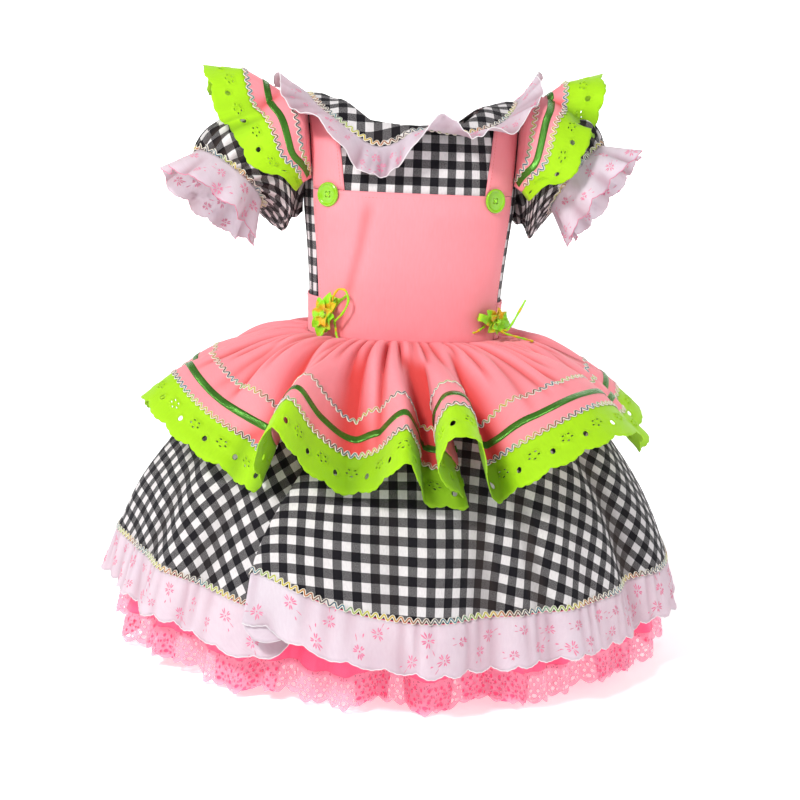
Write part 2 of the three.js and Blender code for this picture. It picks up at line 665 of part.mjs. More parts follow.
function collarEdge(angle) {
  const turned = ((angle + 180) % 360 + 360) % 360 - 180;
  const at = (column) => read(COLLAR_EDGE, "angle", Math.abs(turned), column);
  return V(Math.sign(turned) * at("x"), at("y"), at("z") + read(COLLAR_SAG, "angle", turned, "rise"));
}

function makeCollar() {
  // From just right of the back opening, round the front, to just left of it.
  const angleOf = (u) => -179.4 + 358.8 * u;
  const grid = makeGrid(32, 2, (u, v) => {
    const inner = neckPoint(angleOf(u)).add(V(0, 0, LAYER.collar));
    const outer = collarEdge(angleOf(u));
    const p = inner.clone().lerp(outer, v);
    return p.add(V(0, 0, 2.5 * Math.sin(Math.PI * v)));
  });
  sew("collar", wall(grid), GINGHAM);
  const ruffle = makeGrid(60, 1, (u, v) => {
    const angle = angleOf(u);
    const edge = collarEdge(angle);
    const fallAt = (column) => read(NECK_RUFFLE.fall, "angle", angle, column);
    const out = V(edge.x, edge.y * 1.25, 0).normalize();
    const fall = out.clone().multiplyScalar(fallAt("out")).add(V(0, 0, -fallAt("down"))).normalize();
    const swing = V(0, 0, 1).multiplyScalar(fallAt("out")).addScaledVector(out, fallAt("down")).normalize();
    const wave = NECK_RUFFLE.wave * v * Math.sin(2 * Math.PI * NECK_RUFFLE.waves * u + 1.2);
    return edge.addScaledVector(fall, 4 * SEAM + fallAt("width") * v).addScaledVector(swing, wave);
  });
  sew("neck_ruffle", wall(ruffle), WHITE_LACE);
}

// ---------- overskirt ----------
const PEPLUM_COLUMNS = 96;
const PEPLUM_ROWS = [0, 0.18, 0.52, 1];

function flute(angle, column) {
  const turned = ((angle + 180) % 360 + 360) % 360 - 180;
  return read(PEPLUM_FLUTES, "angle", turned, column);
}

// The overskirt is cut longer in front.
function peplumLength(angle) {
  return PEPLUM.length + PEPLUM.longer * frontness(angle);
}

// Follows the overskirt down from the waist for a length of cloth.
function peplumPoint(angle, length) {
  const steps = 12;
  const row = TORSO[0];
  const [halfWidth, halfDepth] = [row.halfWidth + PEPLUM.topOut, row.halfDepth + PEPLUM.topOut];
  const top = oval(angle, halfWidth, halfDepth, PEPLUM.topZ, BODY_POWER);
  const lift = flute(angle, "lift");
  let [out, z] = [0, 0];
  for (let k = 0; k < steps; k++) {
    const share = (((k + 0.5) / steps) * length) / peplumLength(angle);
    const onLace = smooth(0.98, 1.08, share);
    const slope = THREE.MathUtils.lerp(PEPLUM.slopeTop, PEPLUM.slopeHem, Math.min(1, share) ** 1.15);
    const lifted = slope - lift * smooth(0.1, 0.8, share);
    const fall = rad(THREE.MathUtils.lerp(lifted, PEPLUM.laceSlope - PEPLUM.laceFollows * lift, onLace));
    out += (Math.cos(fall) * length) / steps;
    z -= (Math.sin(fall) * length) / steps;
  }
  const swing = flute(angle, "shift") * smooth(0.15, 0.95, length / peplumLength(angle));
  const way = rad(angle + swing);
  const p = top.add(V(Math.sin(way) * out, -Math.cos(way) * out * PEPLUM.deeper, z));
  const down = downOfZ(p.z);
  const least = tubePoint(SKIRT, angle, down, PEPLUM.clearOfSkirt);
  const short = Math.hypot(least.x, least.y) - Math.hypot(p.x, p.y);
  if (short > 0 && length > PEPLUM.gathered) p.add(V(Math.sin(rad(angle)) * short, -Math.cos(rad(angle)) * short, 0));
  return p;
}

// How far down the skirt a height lies, from 0 at the waist to 1 at the hem.
function downOfZ(z) {
  let [low, high] = [0, 1];
  for (let i = 0; i < 20; i++) {
    const mid = (low + high) / 2;
    if (read(SKIRT, "down", mid, "z") > z) low = mid;
    else high = mid;
  }
  return low;
}

function peplumGather(i, share) {
  return (i % 2 ? 1 : -1) * PEPLUM.gather * (1 - smooth(0.1, 0.62, share));
}

function makePeplum() {
  const half = PEPLUM_COLUMNS / 2;
  const sideGap = 0.12; // degrees
  for (const [name, start] of [["front", -90], ["back", 90]]) {
    const angleOf = (i) => start + THREE.MathUtils.lerp(sideGap, 180 - sideGap, i / half);
    const cloth = makeGrid(half, PEPLUM_ROWS.length - 1, (_, __, i, j) => {
      const p = peplumPoint(angleOf(i), peplumLength(angleOf(i)) * PEPLUM_ROWS[j]);
      const fold = peplumGather(i, PEPLUM_ROWS[j]);
      const [s, c] = [Math.sin(rad(angleOf(i))), Math.cos(rad(angleOf(i)))];
      return p.add(V(s * fold, -c * fold, j ? fold * 0.8 : 0));
    });
    sew("peplum_" + name, wall(cloth, { normals: halfNormals(cloth) }), SALMON);
    const lace = makeGrid(half, 1, (_, v, i) => {
      const scallop = v * PEPLUM.scallop * (i % 2 ? 1 : -1);
      return peplumPoint(angleOf(i), peplumLength(angleOf(i)) + SEAM + v * (PEPLUM.lace + scallop));
    });
    const eyelet = (i) => (i % 2 ? 0.3 : 0);
    sew("peplum_lace_" + name, wall(lace, { normals: halfNormals(lace), hole: eyelet }), LIME);
  }
}

// ---------- skirt, hem ruffle and petticoat ----------
// 1 at the front, falling away to 0 at the back.
function frontness(angle) {
  return ((1 + Math.cos(rad(angle))) / 2) ** 1.6;
}

function tubePoint(table, angle, down, fold) {
  const at = (column) => read(table, "down", down, column);
  const power = 2 + 0.5 * (1 - smooth(0, 0.3, down)); // boxier at the waist
  const p = oval(angle, at("halfWidth") + fold, at("halfDepth") + fold, at("z"), power);
  p.z -= (table === SKIRT ? FRONT_DROP : PETTICOAT_DROP) * frontness(angle) * down ** 1.5;
  return p;
}

function skirtFold(angle, down) {
  let fold = SKIRT_SWAY * Math.cos(rad(SKIRT_SWAYS * angle + 20));
  for (const row of SKIRT_FOLDS) {
    const d = ((angle - row.angle + 540) % 360) - 180;
    fold -= row.depth * Math.exp(-((d / row.width) ** 2));
  }
  return fold * smooth(0.15, 1, down);
}

function lapRise(angle, down) {
  const away = ((angle - LAP.angle + 540) % 360) - 180;
  const rise = away > 0
    ? LAP.lift * Math.exp(-((away / LAP.liftWidth) ** 2)) * smooth(0, 3, away)
    : -LAP.drop * Math.exp(-((away / LAP.dropWidth) ** 2));
  return rise * smooth(0.45, 1, down);
}

function skirtPoint(angle, down, out) {
  return tubePoint(SKIRT, angle, down, skirtFold(angle, down) + out).add(V(0, 0, lapRise(angle, down)));
}

const SKIRT_ROWS = [0, 0.22, 0.5, 0.76, 1];
function makeSkirt() {
  const half = 48;
  const sideGap = 0.1;
  for (const [name, start] of [["front", -90], ["back", 90]]) {
    const angleOf = (u) => start + THREE.MathUtils.lerp(sideGap, 180 - sideGap, u);
    const spot = (u, _, __, j) => skirtPoint(angleOf(u), SKIRT_ROWS[j], 0);
    const cloth = makeGrid(half, SKIRT_ROWS.length - 1, spot);
    sew("skirt_" + name, wall(cloth, { normals: halfNormals(cloth) }), GINGHAM);
    const ruffle = makeGrid(half, 1, (u, v, i) => {
      const angle = angleOf(u);
      const wave = HEM_RUFFLE.wave * Math.sin(rad(HEM_RUFFLE.waves * angle)) * v;
      const p = skirtPoint(angle, 1, HEM_RUFFLE.flare * v + wave);
      p.z -= SEAM + v * (HEM_RUFFLE.drop + (i % 2 ? HEM_RUFFLE.scallop : -HEM_RUFFLE.scallop));
      return p;
    });
    sew("hem_ruffle_" + name, wall(ruffle, { normals: halfNormals(ruffle) }), WHITE_LACE);
  }
}

function makePetticoat() {
  const half = PETTICOAT_PLEATS;
  const sideGap = 0.08;
  const pleat = (i, down) => (i % 2 ? 1 : -1) * PETTICOAT_PLEAT * smooth(0.2, 1, down);
  const downs = [0, 0.45, 1];
  for (const [name, start] of [["front", -90], ["back", 90]]) {
    const angleOf = (u) => start + THREE.MathUtils.lerp(sideGap, 180 - sideGap, u);
    const net = makeGrid(half, downs.length - 1, (u, _, i, j) =>
      tubePoint(PETTICOAT, angleOf(u), downs[j], pleat(i, downs[j])));
    sew("petticoat_" + name, wall(net, { normals: halfNormals(net) }), TULLE);
    const lace = makeGrid(half, 1, (u, v, i) => {
      const p = tubePoint(PETTICOAT, angleOf(u), 1, pleat(i, 1) + PETTICOAT_LACE.flare * v);
      p.z -= SEAM + v * (PETTICOAT_LACE.drop + (i % 4 < 2 ? 1 : -1) * PETTICOAT_LACE.scallop);
      return p;
    });
    sew("petticoat_lace_" + name, wall(lace, { normals: halfNormals(lace) }), TULLE);
  }
}

// ---------- buttons and waist flowers ----------
function faceOn(mesh, point, normal) {
  mesh.position.copy(point);
  mesh.quaternion.setFromUnitVectors(V(0, 1, 0), normal);
}

function buttonShape({ radius, thick }, segments) {
  const profile = [
    [0, 0], [radius - 0.8, 0], [radius, thick * 0.35], [radius - 0.7, thick],
    [radius - 2.2, thick * 0.72], [0, thick * 0.72],
  ].map(([r, h]) => new THREE.Vector2(r, h));
  return new THREE.LatheGeometry(profile, segments);
}

function makeButtons() {
  for (const { name, x, z } of BUTTONS) {
    const level = levelOfZ(z);
    const side = Math.sign(x);
    const across = torsoAtX(x + side * 9, level, -1).sub(torsoAtX(x - side * 9, level, -1));
    const normal = V(across.y, -across.x, 0).multiplyScalar(side).normalize();
    const mesh = sew("button_" + name, buttonShape(BUTTON, 16), PLASTIC);
    faceOn(mesh, torsoAtX(x, level, -1).addScaledVector(normal, LAYER.button), normal);
  }
  BACK_BUTTON.heights.forEach((z, k) => {
    const level = levelOfZ(z);
    const p = torsoAt(180, level);
    const normal = torsoNormal(180, level);
    const mesh = sew("back_button_" + (k + 1), buttonShape(BACK_BUTTON, 12), DARK_PLASTIC);
    faceOn(mesh, p.addScaledVector(normal, CLOTH + SEAM + 0.2), normal);
  });
}

// One waist flower: "along" runs with its ribbon, "over" across the ribbon and "out" away from the bib.
function makeFlowers() {
  for (const { name, x, z, turn, sink } of FLOWERS) {
    const level = levelOfZ(z);
    const share = (Math.abs(x) / torsoRow(level).halfWidth) ** (BODY_POWER / 2);
    const angle = Math.sign(x) * THREE.MathUtils.radToDeg(Math.asin(share));
    const out = torsoNormal(angle, level);
    const side = V(0, 0, 1).cross(out).normalize();
    const up = out.clone().cross(side);
    const [c, sn] = [Math.cos(rad(turn)), Math.sin(rad(turn))];
    const along = side.clone().multiplyScalar(c).addScaledVector(up, sn);
    const over = side.clone().multiplyScalar(-sn).addScaledVector(up, c);
    const base = torsoAt(angle, level).addScaledVector(out, HIGH + 0.5 - sink);
    const at = (a, o, h) =>
      base.clone().addScaledVector(along, a).addScaledVector(over, o).addScaledVector(out, h);

    const loopMiddle = RIBBON.puff * 0.84 + RIBBON.thick + 0.2;
    const loopTop = loopMiddle + RIBBON.puff * 0.84;
    for (const [end, way] of [["a", 1], ["b", -1]]) {
      const loop = makeGrid(10, 1, (u, v) => {
        const t = 2 * Math.PI * u;
        const a = way * (RIBBON.loop / 2 - (RIBBON.loop / 2 - 0.7) * Math.cos(t));
        const fat = RIBBON.puff * Math.sin(t) * (0.45 + 0.55 * Math.sin(t / 2));
        const wide = RIBBON.width / 2 * (0.6 + 0.4 * Math.sin(t / 2));
        return at(a, (v * 2 - 1) * wide, loopMiddle + fat);
      }, true);
      sew(`flower_${name}_loop_${end}`, wall(loop, { closed: true, from: -RIBBON.thick, to: 0 }), SATIN);
    }
    const rosette = makeGrid(ROSETTE.petals * 2, 1, (u, v, i) => {
      const t = 2 * Math.PI * u;
      const r = ROSETTE.eye + (ROSETTE.radius - ROSETTE.eye) * v * (i % 2 ? 1 : 0.86);
      const dome = ROSETTE.rise * Math.sin(Math.PI * v * 0.8);
      const fold = ROSETTE.fold * (0.5 + (i % 2 ? v : -v));
      return at(r * Math.cos(t), r * Math.sin(t), loopTop + SEAM + dome + fold);
    }, true);
    sew(`flower_${name}`, wall(rosette, { closed: true }), LIME);
  }
}

makeBodice();
makeSleeves();
makeBib();
makeWaistband();
makeStraps();
makeWings();
makeCollar();
makePeplum();
makeSkirt();
makePetticoat();
makeButtons();
makeFlowers();

export default dress;
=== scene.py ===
"""A girl's festa junina dress, filled out as worn: gingham frock, salmon pinafore, lime eyelet edgings, lace
frills and a net petticoat. Every cloth is a thin shell on the form of the CAD solid that it stands for.

Lengths are millimetres, turned into metres where a mesh is made. +Z is up and the front faces -Y.
A "skin" is a surface given as skin(u, v) -> points: u runs along the piece, v from its sewn edge (0) to its
free edge (1). Shells, trims, stitches and embroidery are all laid on skins.
"""

import math

import bpy
import numpy as np
from mathutils import Matrix, Vector
from mathutils.geometry import delaunay_2d_cdt


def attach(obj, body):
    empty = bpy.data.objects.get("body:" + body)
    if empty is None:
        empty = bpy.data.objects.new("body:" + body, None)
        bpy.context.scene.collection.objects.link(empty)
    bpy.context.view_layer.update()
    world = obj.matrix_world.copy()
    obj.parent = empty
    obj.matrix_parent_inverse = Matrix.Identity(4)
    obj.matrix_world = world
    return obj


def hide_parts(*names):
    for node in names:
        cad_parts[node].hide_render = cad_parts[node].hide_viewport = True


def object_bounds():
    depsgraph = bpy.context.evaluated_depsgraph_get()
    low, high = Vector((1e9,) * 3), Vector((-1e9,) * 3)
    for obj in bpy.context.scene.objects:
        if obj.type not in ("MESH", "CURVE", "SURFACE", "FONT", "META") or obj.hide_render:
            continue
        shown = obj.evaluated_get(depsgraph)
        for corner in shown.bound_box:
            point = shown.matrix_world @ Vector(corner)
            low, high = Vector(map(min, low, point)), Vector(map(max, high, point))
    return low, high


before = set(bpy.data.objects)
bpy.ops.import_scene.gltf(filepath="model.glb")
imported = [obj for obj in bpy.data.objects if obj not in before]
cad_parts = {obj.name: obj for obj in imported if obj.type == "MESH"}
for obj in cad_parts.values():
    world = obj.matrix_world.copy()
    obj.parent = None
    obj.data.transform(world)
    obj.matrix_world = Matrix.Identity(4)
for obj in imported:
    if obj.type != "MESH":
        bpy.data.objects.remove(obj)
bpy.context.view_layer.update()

MM = 0.001
CLOTH = 1.0  # thickness of a shell
LAWN_THICK = 0.7
SEAM = 0.4  # gap between two pieces that are sewn edge to edge
PINAFORE = 2.0  # height of the pinafore above the bodice's surface
TRIM = 0.25  # height of a trim's underside above its cloth

# ---------------------------------------------------------------- tables


class Table:
    """Rows of numbers with named columns, read on a smooth curve through the rows by the first column."""

    def __init__(self, columns, *rows):
        self.columns = columns.split()
        self.rows = np.array(rows, float)
        self.key = self.rows[:, 0]

    def read(self, at, column):
        key = self.key
        value = self.rows[:, self.columns.index(column)]
        last = len(key) - 1
        at = np.asarray(at, float)
        b = np.clip(np.searchsorted(key, at, side="left"), 1, last)
        a = b - 1
        before = np.maximum(a - 1, 0)
        after = np.minimum(b + 1, last)
        span = key[b] - key[a]
        t = np.clip((at - key[a]) / span, 0, 1)
        slope_a = (value[b] - value[before]) / (key[b] - key[before])
        slope_b = (value[after] - value[a]) / (key[after] - key[a])
        t2 = t * t
        t3 = t2 * t
        start = (2 * t3 - 3 * t2 + 1) * value[a] + (t3 - 2 * t2 + t) * span * slope_a
        return start + (3 * t2 - 2 * t3) * value[b] + (t3 - t2) * span * slope_b

    def solve(self, value, column, steps=26):
        """The key at which a column that falls (or rises) all the way has this value."""
        falling = self.read(self.key[-1], column) < self.read(self.key[0], column)
        low = np.full(np.shape(value), self.key[0], float)
        high = np.full(np.shape(value), self.key[-1], float)
        for _ in range(steps):
            mid = (low + high) / 2
            before = (self.read(mid, column) > value) == falling
            low = np.where(before, mid, low)
            high = np.where(before, high, mid)
        return low


# The torso's sections, from the waist seam to the shoulder ridge.
TORSO = Table(
    "level z half_width half_depth",
    (0.0, -241, 97, 76),
    (0.2, -195, 99, 78),
    (0.4, -150, 103, 81),
    (0.55, -105, 108, 81),
    (0.7, -66, 110, 76),
    (0.82, -38, 111, 66),
    (0.9, -20, 112, 53),
    (0.96, -8, 113, 33),
    (1.0, -3, 114, 0.3),
)
BODY_POWER = 2.5  # roundness of the torso's sections: 2 is an ellipse, more is boxier
SHOULDER_DROP = 11
UNDERARM_LEVEL = 0.55
BUST_LEVEL = 0.6  # the bib's top edge
BAND_LEVEL = 0.18  # the waistband's top edge
NECK_DIP = {"front": 0.155, "back": 0.17}  # share of the torso's height by which the neck is cut down

# Edge of the bodice at the side seam and round the armhole, in degrees from the front or back centre.
ARMHOLE = Table(
    "level angle",
    (0.0, 90),
    (0.44, 90),
    (0.5, 90),
    (0.56, 87.5),
    (0.63, 77),
    (0.72, 71),
    (0.85, 70),
    (1.0, 72),
)
# Upright lines of a bodice panel: its angle below the bust, at the top, and its share of the neck's dip.
LINE_LOW = (0, 17, 34.4, 48, 61.3)
LINE_TOP = (0, 21, 41.5, 54, 66.7)
LINE_NECK = (1.0, 0.86, 0, 0, 0)
PANEL_LINES = (0, 1, 2, 3, 4)
STRAP_IN, STRAP_OUT, SIDE_LINE = 2, 4, 6  # numbers of the lines at the strap's edges and the side seam

# Down the gingham skirt, from the waist seam to the hem.
SKIRT = Table(
    "down half_width half_depth z",
    (0.0, 97.4, 76.4, -242.9),
    (0.18, 126, 108, -253),
    (0.4, 176, 162, -284),
    (0.6, 221, 208, -329),
    (0.8, 262, 249, -383),
    (1.0, 292, 280, -440),
)
SKIRT_FOLDS = (  # inward folds: angle, depth, width in degrees
    (-32, 16, 4), (24, 12, 4), (52, 18, 6), (-62, 16, 7), (92, 17, 8),
    (-95, 18, 7), (124, 21, 6), (-128, 19, 6), (156, 17, 5), (-158, 22, 6),
)
FRONT_DROP = 23  # the hem hangs lower in front
SKIRT_SWAY, SKIRT_SWAYS = 5, 12
HEM_FRILL = {"drop": 46, "flare": 13, "waves": 24, "wave": 2.6}

PETTICOAT = Table(
    "down half_width half_depth z",
    (0.0, 95.5, 74.5, -244.2),
    (0.45, 196, 176, -338),
    (1.0, 281, 256, -514),
)
PETTICOAT_DROP = 8  # at the front
PETTICOAT_PLEATS, PETTICOAT_PLEAT, PETTICOAT_STEP = 48, 6.5, 4.0  # count, depth, and unevenness of the hem
PETTICOAT_LACE = {"drop": 32, "flare": 4}

PEPLUM = {
    "length": 131, "longer": 33, "top_z": -240.7, "top_out": 5.3, "slope_top": 2, "slope_hem": 60,
    "deeper": 1.09, "lace": 40, "lace_slope": 45, "clear_of_skirt": 8.5,
}
# At each flute and hollow of the overskirt's hem: degrees by which the cloth stands out, or hangs in where it
# is below 0, and degrees by which it swings round to one side.
FLUTES = Table(
    "angle lift shift",
    (-180, 12, 0), (-167, -9, 0), (-153, 17, 0), (-139, -10, 0), (-126, 16, 0), (-112, -9, 0),
    (-98, 17, 0), (-86, 6, 0), (-73, 26, 0), (-60, 12, 0), (-47, -6, 0), (-36.5, -22, 3.0),
    (-31.5, 6, -0.4), (-26.5, 31, 1.2),
    (-21, 8, 0.8), (-15, -12, 2.4), (-9, -4, 2.2), (-4, 17, 2.6), (-1.8, 3, 3.2), (-0.4, -17, 4.6),
    (1.3, -18, 15.5), (2.3, 8, 0.2), (3.5, 29, -1.2), (5.0, 34, 0.4), (6.6, 28, 2.7), (8.3, 4, 4.6),
    (11.2, -16, 6.6), (15, -9, 4.6), (19, 3, 2.6), (28, 18, 0.6), (38, 27, 0), (48, 24, 0), (58, 6, 0),
    (68, 10, 0), (79, -2, 0), (92, 16, 0), (105, -9, 0), (118, 16, 0), (132, -10, 0), (146, 17, 0),
    (163, -9, 0), (180, 12, 0),
)

COLLAR_LIFT = 5.2  # above the neckline
COLLAR_EDGE = Table(  # outer edge of the collar, by angle round the neck from the front
    "angle x y z",
    (0, 0, -78, -43),
    (30, 42, -75, -39),
    (60, 83, -56, -21),
    (90, 107, -4, 3),
    (120, 86, 48, -12),
    (150, 44, 73, -40),
    (180, 0, 80, -49),
)
COLLAR_SAG = Table(  # the collar hangs lower to the left of the front's middle than to its right
    "angle rise",
    (-180, 0), (-80, 0), (-58, 0.5), (-42, -4), (-28, -6), (-15, 1), (-4, 11), (8, 12), (20, 9), (45, 4),
    (70, 0), (180, 0),
)
NECK_WAVES, NECK_WAVE = 15, 5.0
NECK_FALL = Table(  # where the collar's frill points below that edge, as a slope out and down
    "angle out down width",
    (-180, 0.42, 0.9, 38),
    (-150, 0.5, 0.82, 38),
    (-120, 0.86, 0.12, 38),
    (-90, 0.95, -0.4, 38),
    (-68, 0.95, 0.0, 34),
    (-54, 0.95, 0.08, 30),
    (-43, 0.92, 0.3, 27),
    (-37, 0.5, 0.86, 32),
    (-24, 0.4, 0.92, 31),
    (-12, 0.45, 0.9, 33),
    (-3, 0.9, 0.3, 30),
    (10, 0.95, -0.45, 30),
    (28, 0.98, -0.08, 30),
    (52, 0.97, 0.0, 32),
    (70, 0.8, -0.5, 36),
    (90, 0.6, -0.85, 38),
    (120, 0.8, -0.05, 38),
    (150, 0.5, 0.82, 38),
    (180, 0.42, 0.9, 38),
)

WING = Table(  # the flutter wing, from its front end over the shoulder to its back end
    "run width lace out forward up",
    (0.0, 12, 15, 0.62, 0.6, -0.3),
    (0.18, 40, 34, 0.8, 0.55, 0.1),
    (0.35, 64, 39, 0.88, 0.28, 0.42),
    (0.5, 78, 40, 0.86, 0.0, 0.54),
    (0.65, 64, 39, 0.88, -0.28, 0.42),
    (0.82, 40, 34, 0.8, -0.55, 0.1),
    (1.0, 12, 15, 0.62, -0.6, -0.3),
)
WING_FRONT, WING_BACK = 0.64, 0.58  # levels of its two ends
WING_RISE, WING_BESIDE = 2.5, 2.1  # off the bodice, and out from the strap
WING_SET = {"left": (1, 0), "right": (0.8, 0.22)}  # share of the width that it reaches, and rise
WING_WAVES, WING_WAVE, WING_ARCH, WING_CLEAR = 5, 5, 9, 8
WING_LACE_WAVES, WING_LACE_WAVE = 8, 4.5

SLEEVES = {  # side, middle of the cuff, where the cuff faces
    "left": (-1, (-186, -14, -84), (-0.56, -0.3, -0.77)),
    "right": (1, (171, -20, -70), (0.76, -0.3, -0.57)),
}
PUFF = Table(
    "run puff",
    (0, 0), (0.08, 0.55), (0.25, 0.97), (0.5, 1.04), (0.75, 0.84), (0.93, 0.34), (1, 0),
)
PUFF_OUT, CUFF_RADIUS, SLEEVE_GATHERS = 23, 41, 26
SLEEVE_SLANT = 24  # degrees between the grain and the arm
UNDERARM = Table(  # how far the underside of the puff hangs
    "run drop",
    (0, 12), (0.08, 3), (0.25, -6), (0.5, 3), (0.75, 8), (1, 0),
)
GATHER_HEIGHT, SLEEVE_FOLD, SLEEVE_FOLD_SIZE = 2.3, 3.2, 62
CUFF_FRILL = {"width": 38, "flare": 15, "waves": 9, "wave": 6}
SLEEVE_INSIDE = (99, -60)  # x and z of the armhole's centre

# ---------------------------------------------------------------- small tools


def smooth(a, b, x):
    t = np.clip((np.asarray(x, float) - a) / (b - a), 0, 1)
    return t * t * (3 - 2 * t)


def lerp(a, b, t):
    return a + (b - a) * t


def vec(x, y, z):
    """Points from three arrays or numbers."""
    return np.stack(np.broadcast_arrays(np.asarray(x, float), y, z), axis=-1)


def unit(v):
    return v / np.maximum(np.linalg.norm(v, axis=-1, keepdims=True), 1e-9)


def floats(a, b):
    """Two arrays of floats, stretched to one shape."""
    return np.broadcast_arrays(np.asarray(a, float), np.asarray(b, float))


def pairs(a, b):
    """Points from two arrays."""
    return np.stack(np.broadcast_arrays(a, b), -1)


def run_along(line):
    """How far each point of a line is from its start, along it."""
    return np.concatenate([[0], np.cumsum(np.linalg.norm(np.diff(line, axis=0), axis=-1))])


def points_at(at, run, line):
    """Points, or normals, of a line at these distances from its start."""
    return np.stack([np.interp(at, run, line[:, k]) for k in range(3)], -1)


def ring_turns(count):
    """Angles in radians of so many corners round a ring."""
    return np.arange(count) / count * 2 * math.pi


def ripple(angle, waves, phase=0.0):
    """A sine of so many waves round the dress. Angles are in degrees."""
    return np.sin(np.radians(waves * angle + phase))


def turned(angle):
    """An angle brought to -180..180."""
    return (np.asarray(angle, float) + 180) % 360 - 180


def across(angle):
    """Unit vectors that point out of the dress at these angles."""
    a = np.radians(angle)
    return vec(np.sin(a), -np.cos(a), 0 * a)


def oval(angle, half_width, half_depth, z, power=2.0):
    a = np.radians(angle)
    s, c = np.sin(a), np.cos(a)
    p = 2 / power
    return vec(half_width * np.sign(s) * np.abs(s) ** p, -half_depth * np.sign(c) * np.abs(c) ** p, z)


def crumple(u, v, size, seed, turns=7):
    """Soft random undulation between about -1 and 1 over flat coordinates in mm; the same for each run."""
    rng = np.random.default_rng(seed)
    total = 0.0
    for _ in range(turns):
        way = rng.uniform(0, math.pi)
        pitch = size * rng.uniform(0.7, 1.7)
        phase = rng.uniform(0, 2 * math.pi)
        along = u * math.cos(way) + v * math.sin(way)
        total = total + np.sin(2 * math.pi * along / pitch + phase)
    return total / math.sqrt(turns) / 1.4


# ---------------------------------------------------------------- skins


def torso_at(angle, level):
    p = oval(angle, TORSO.read(level, "half_width"), TORSO.read(level, "half_depth"),
             TORSO.read(level, "z"), BODY_POWER)
    p[..., 2] -= SHOULDER_DROP * smooth(66, 110, np.abs(p[..., 0])) * smooth(0.75, 1, level)
    return p


def torso_normal(angle, level):
    at = np.minimum(level, 0.985)
    side = torso_at(angle + 1, at) - torso_at(angle - 1, at)
    down = torso_at(angle, np.maximum(0, at - 0.01)) - torso_at(angle, at + 0.01)
    n = unit(np.cross(side, down))
    outward = torso_at(angle, at) - np.array([0, 0, -130.0])
    return np.where((n * outward).sum(-1, keepdims=True) < 0, -n, n)


def line_angle(line, level):
    """Angle of a panel's upright line, which may lie between two numbered ones."""
    rise = np.maximum(0, (level - BUST_LEVEL) / (1 - BUST_LEVEL))
    edge = ARMHOLE.read(level, "angle")
    inner = lerp(np.interp(line, PANEL_LINES, LINE_LOW), np.interp(line, PANEL_LINES, LINE_TOP), rise)
    last = lerp(LINE_LOW[-1], LINE_TOP[-1], rise)
    return np.where(line <= 4, inner, lerp(last, edge, (line - 4) / 2))


def bodice_at(line, up, face, lift=0.0):
    """A point of the bodice at a panel line, lifted along its normal.

    Lines are numbered from the centre, below 0 on the -X side. Face is front or back.
    """
    line, up = floats(line, up)
    dip = NECK_DIP[face] * np.interp(np.abs(line), PANEL_LINES, LINE_NECK)
    level = np.where(up <= BUST_LEVEL, up, BUST_LEVEL + (up - BUST_LEVEL) * (1 - dip / (1 - BUST_LEVEL)))
    angle = np.sign(line) * line_angle(np.abs(line), level)
    p = torso_at(angle, level) + torso_normal(angle, level) * lift
    if face == "back":
        p[..., 1] *= -1
    return p


def armhole_at(side, turn):
    """The armhole's edge: turn 0 is the shoulder tip, a quarter its front, a half the underarm."""
    front = turn < 0.5
    drop = np.where(front, turn * 2, (1 - turn) * 2)
    level = 1 - ((1 - UNDERARM_LEVEL) * (1 - np.cos(math.pi * drop))) / 2
    line = side * SIDE_LINE + 0 * turn
    return np.where(front[..., None], bodice_at(line, level, "front"), bodice_at(line, level, "back"))


def cuff_ring(name):
    _, centre, facing_way = SLEEVES[name]
    n = unit(np.array(facing_way, float))
    up = unit(np.array([0, 0, 1.0]) - n * n[2])
    front = np.array([0, -1.0, 0]) + n * n[1]
    front = unit(front - up * (front @ up))

    def at(turn, radius, along=0.0):
        a = 2 * math.pi * np.asarray(turn, float)[..., None]
        radius = np.asarray(radius, float)[..., None]
        along = np.asarray(along, float)[..., None]
        return np.array(centre, float) + up * radius * np.cos(a) + front * radius * np.sin(a) + n * along

    return at


def sleeve_middle(name, run):
    side, centre, _ = SLEEVES[name]
    start = np.array([side * SLEEVE_INSIDE[0], 0, SLEEVE_INSIDE[1]], float)
    return start + (np.array(centre, float) - start) * np.asarray(run, float)[..., None]


def sleeve_at(name, turn, run, crease=True):
    side = SLEEVES[name][0]
    turn, run = floats(np.asarray(turn, float) % 1, run)
    start = armhole_at(side, turn)
    outwards = unit(vec(0, start[..., 1], start[..., 2] - SLEEVE_INSIDE[1]))
    start = start - outwards * SEAM + np.array([side * (SEAM + CLOTH), 0, 0])
    end = cuff_ring(name)(turn, CUFF_RADIUS)
    p = lerp(start, end, run[..., None])
    puff = PUFF_OUT * PUFF.read(run, "puff")
    if crease:
        # Gathers run in from the cap and the cuff, and loose folds cross the puff between them.
        wander = 0.35 * np.sin(2 * math.pi * (3 * turn + 0.2)) + 0.5 * run
        gathers = np.cos(2 * math.pi * SLEEVE_GATHERS * turn + 2 * math.pi * wander)
        edge = smooth(0.45, 0.0, run) * smooth(0, 0.06, run) + smooth(0.5, 0.97, run)
        folds = crumple(turn * 420, run * 120, SLEEVE_FOLD_SIZE, 11 + side)
        puff = puff + GATHER_HEIGHT * gathers * edge + SLEEVE_FOLD * folds * np.sin(math.pi * run)
    out = unit(p - sleeve_middle(name, run))
    p = p + out * puff[..., None]
    p[..., 2] -= UNDERARM.read(run, "drop") * np.clip(-np.cos(2 * math.pi * turn), 0, 1) ** 1.5
    return p


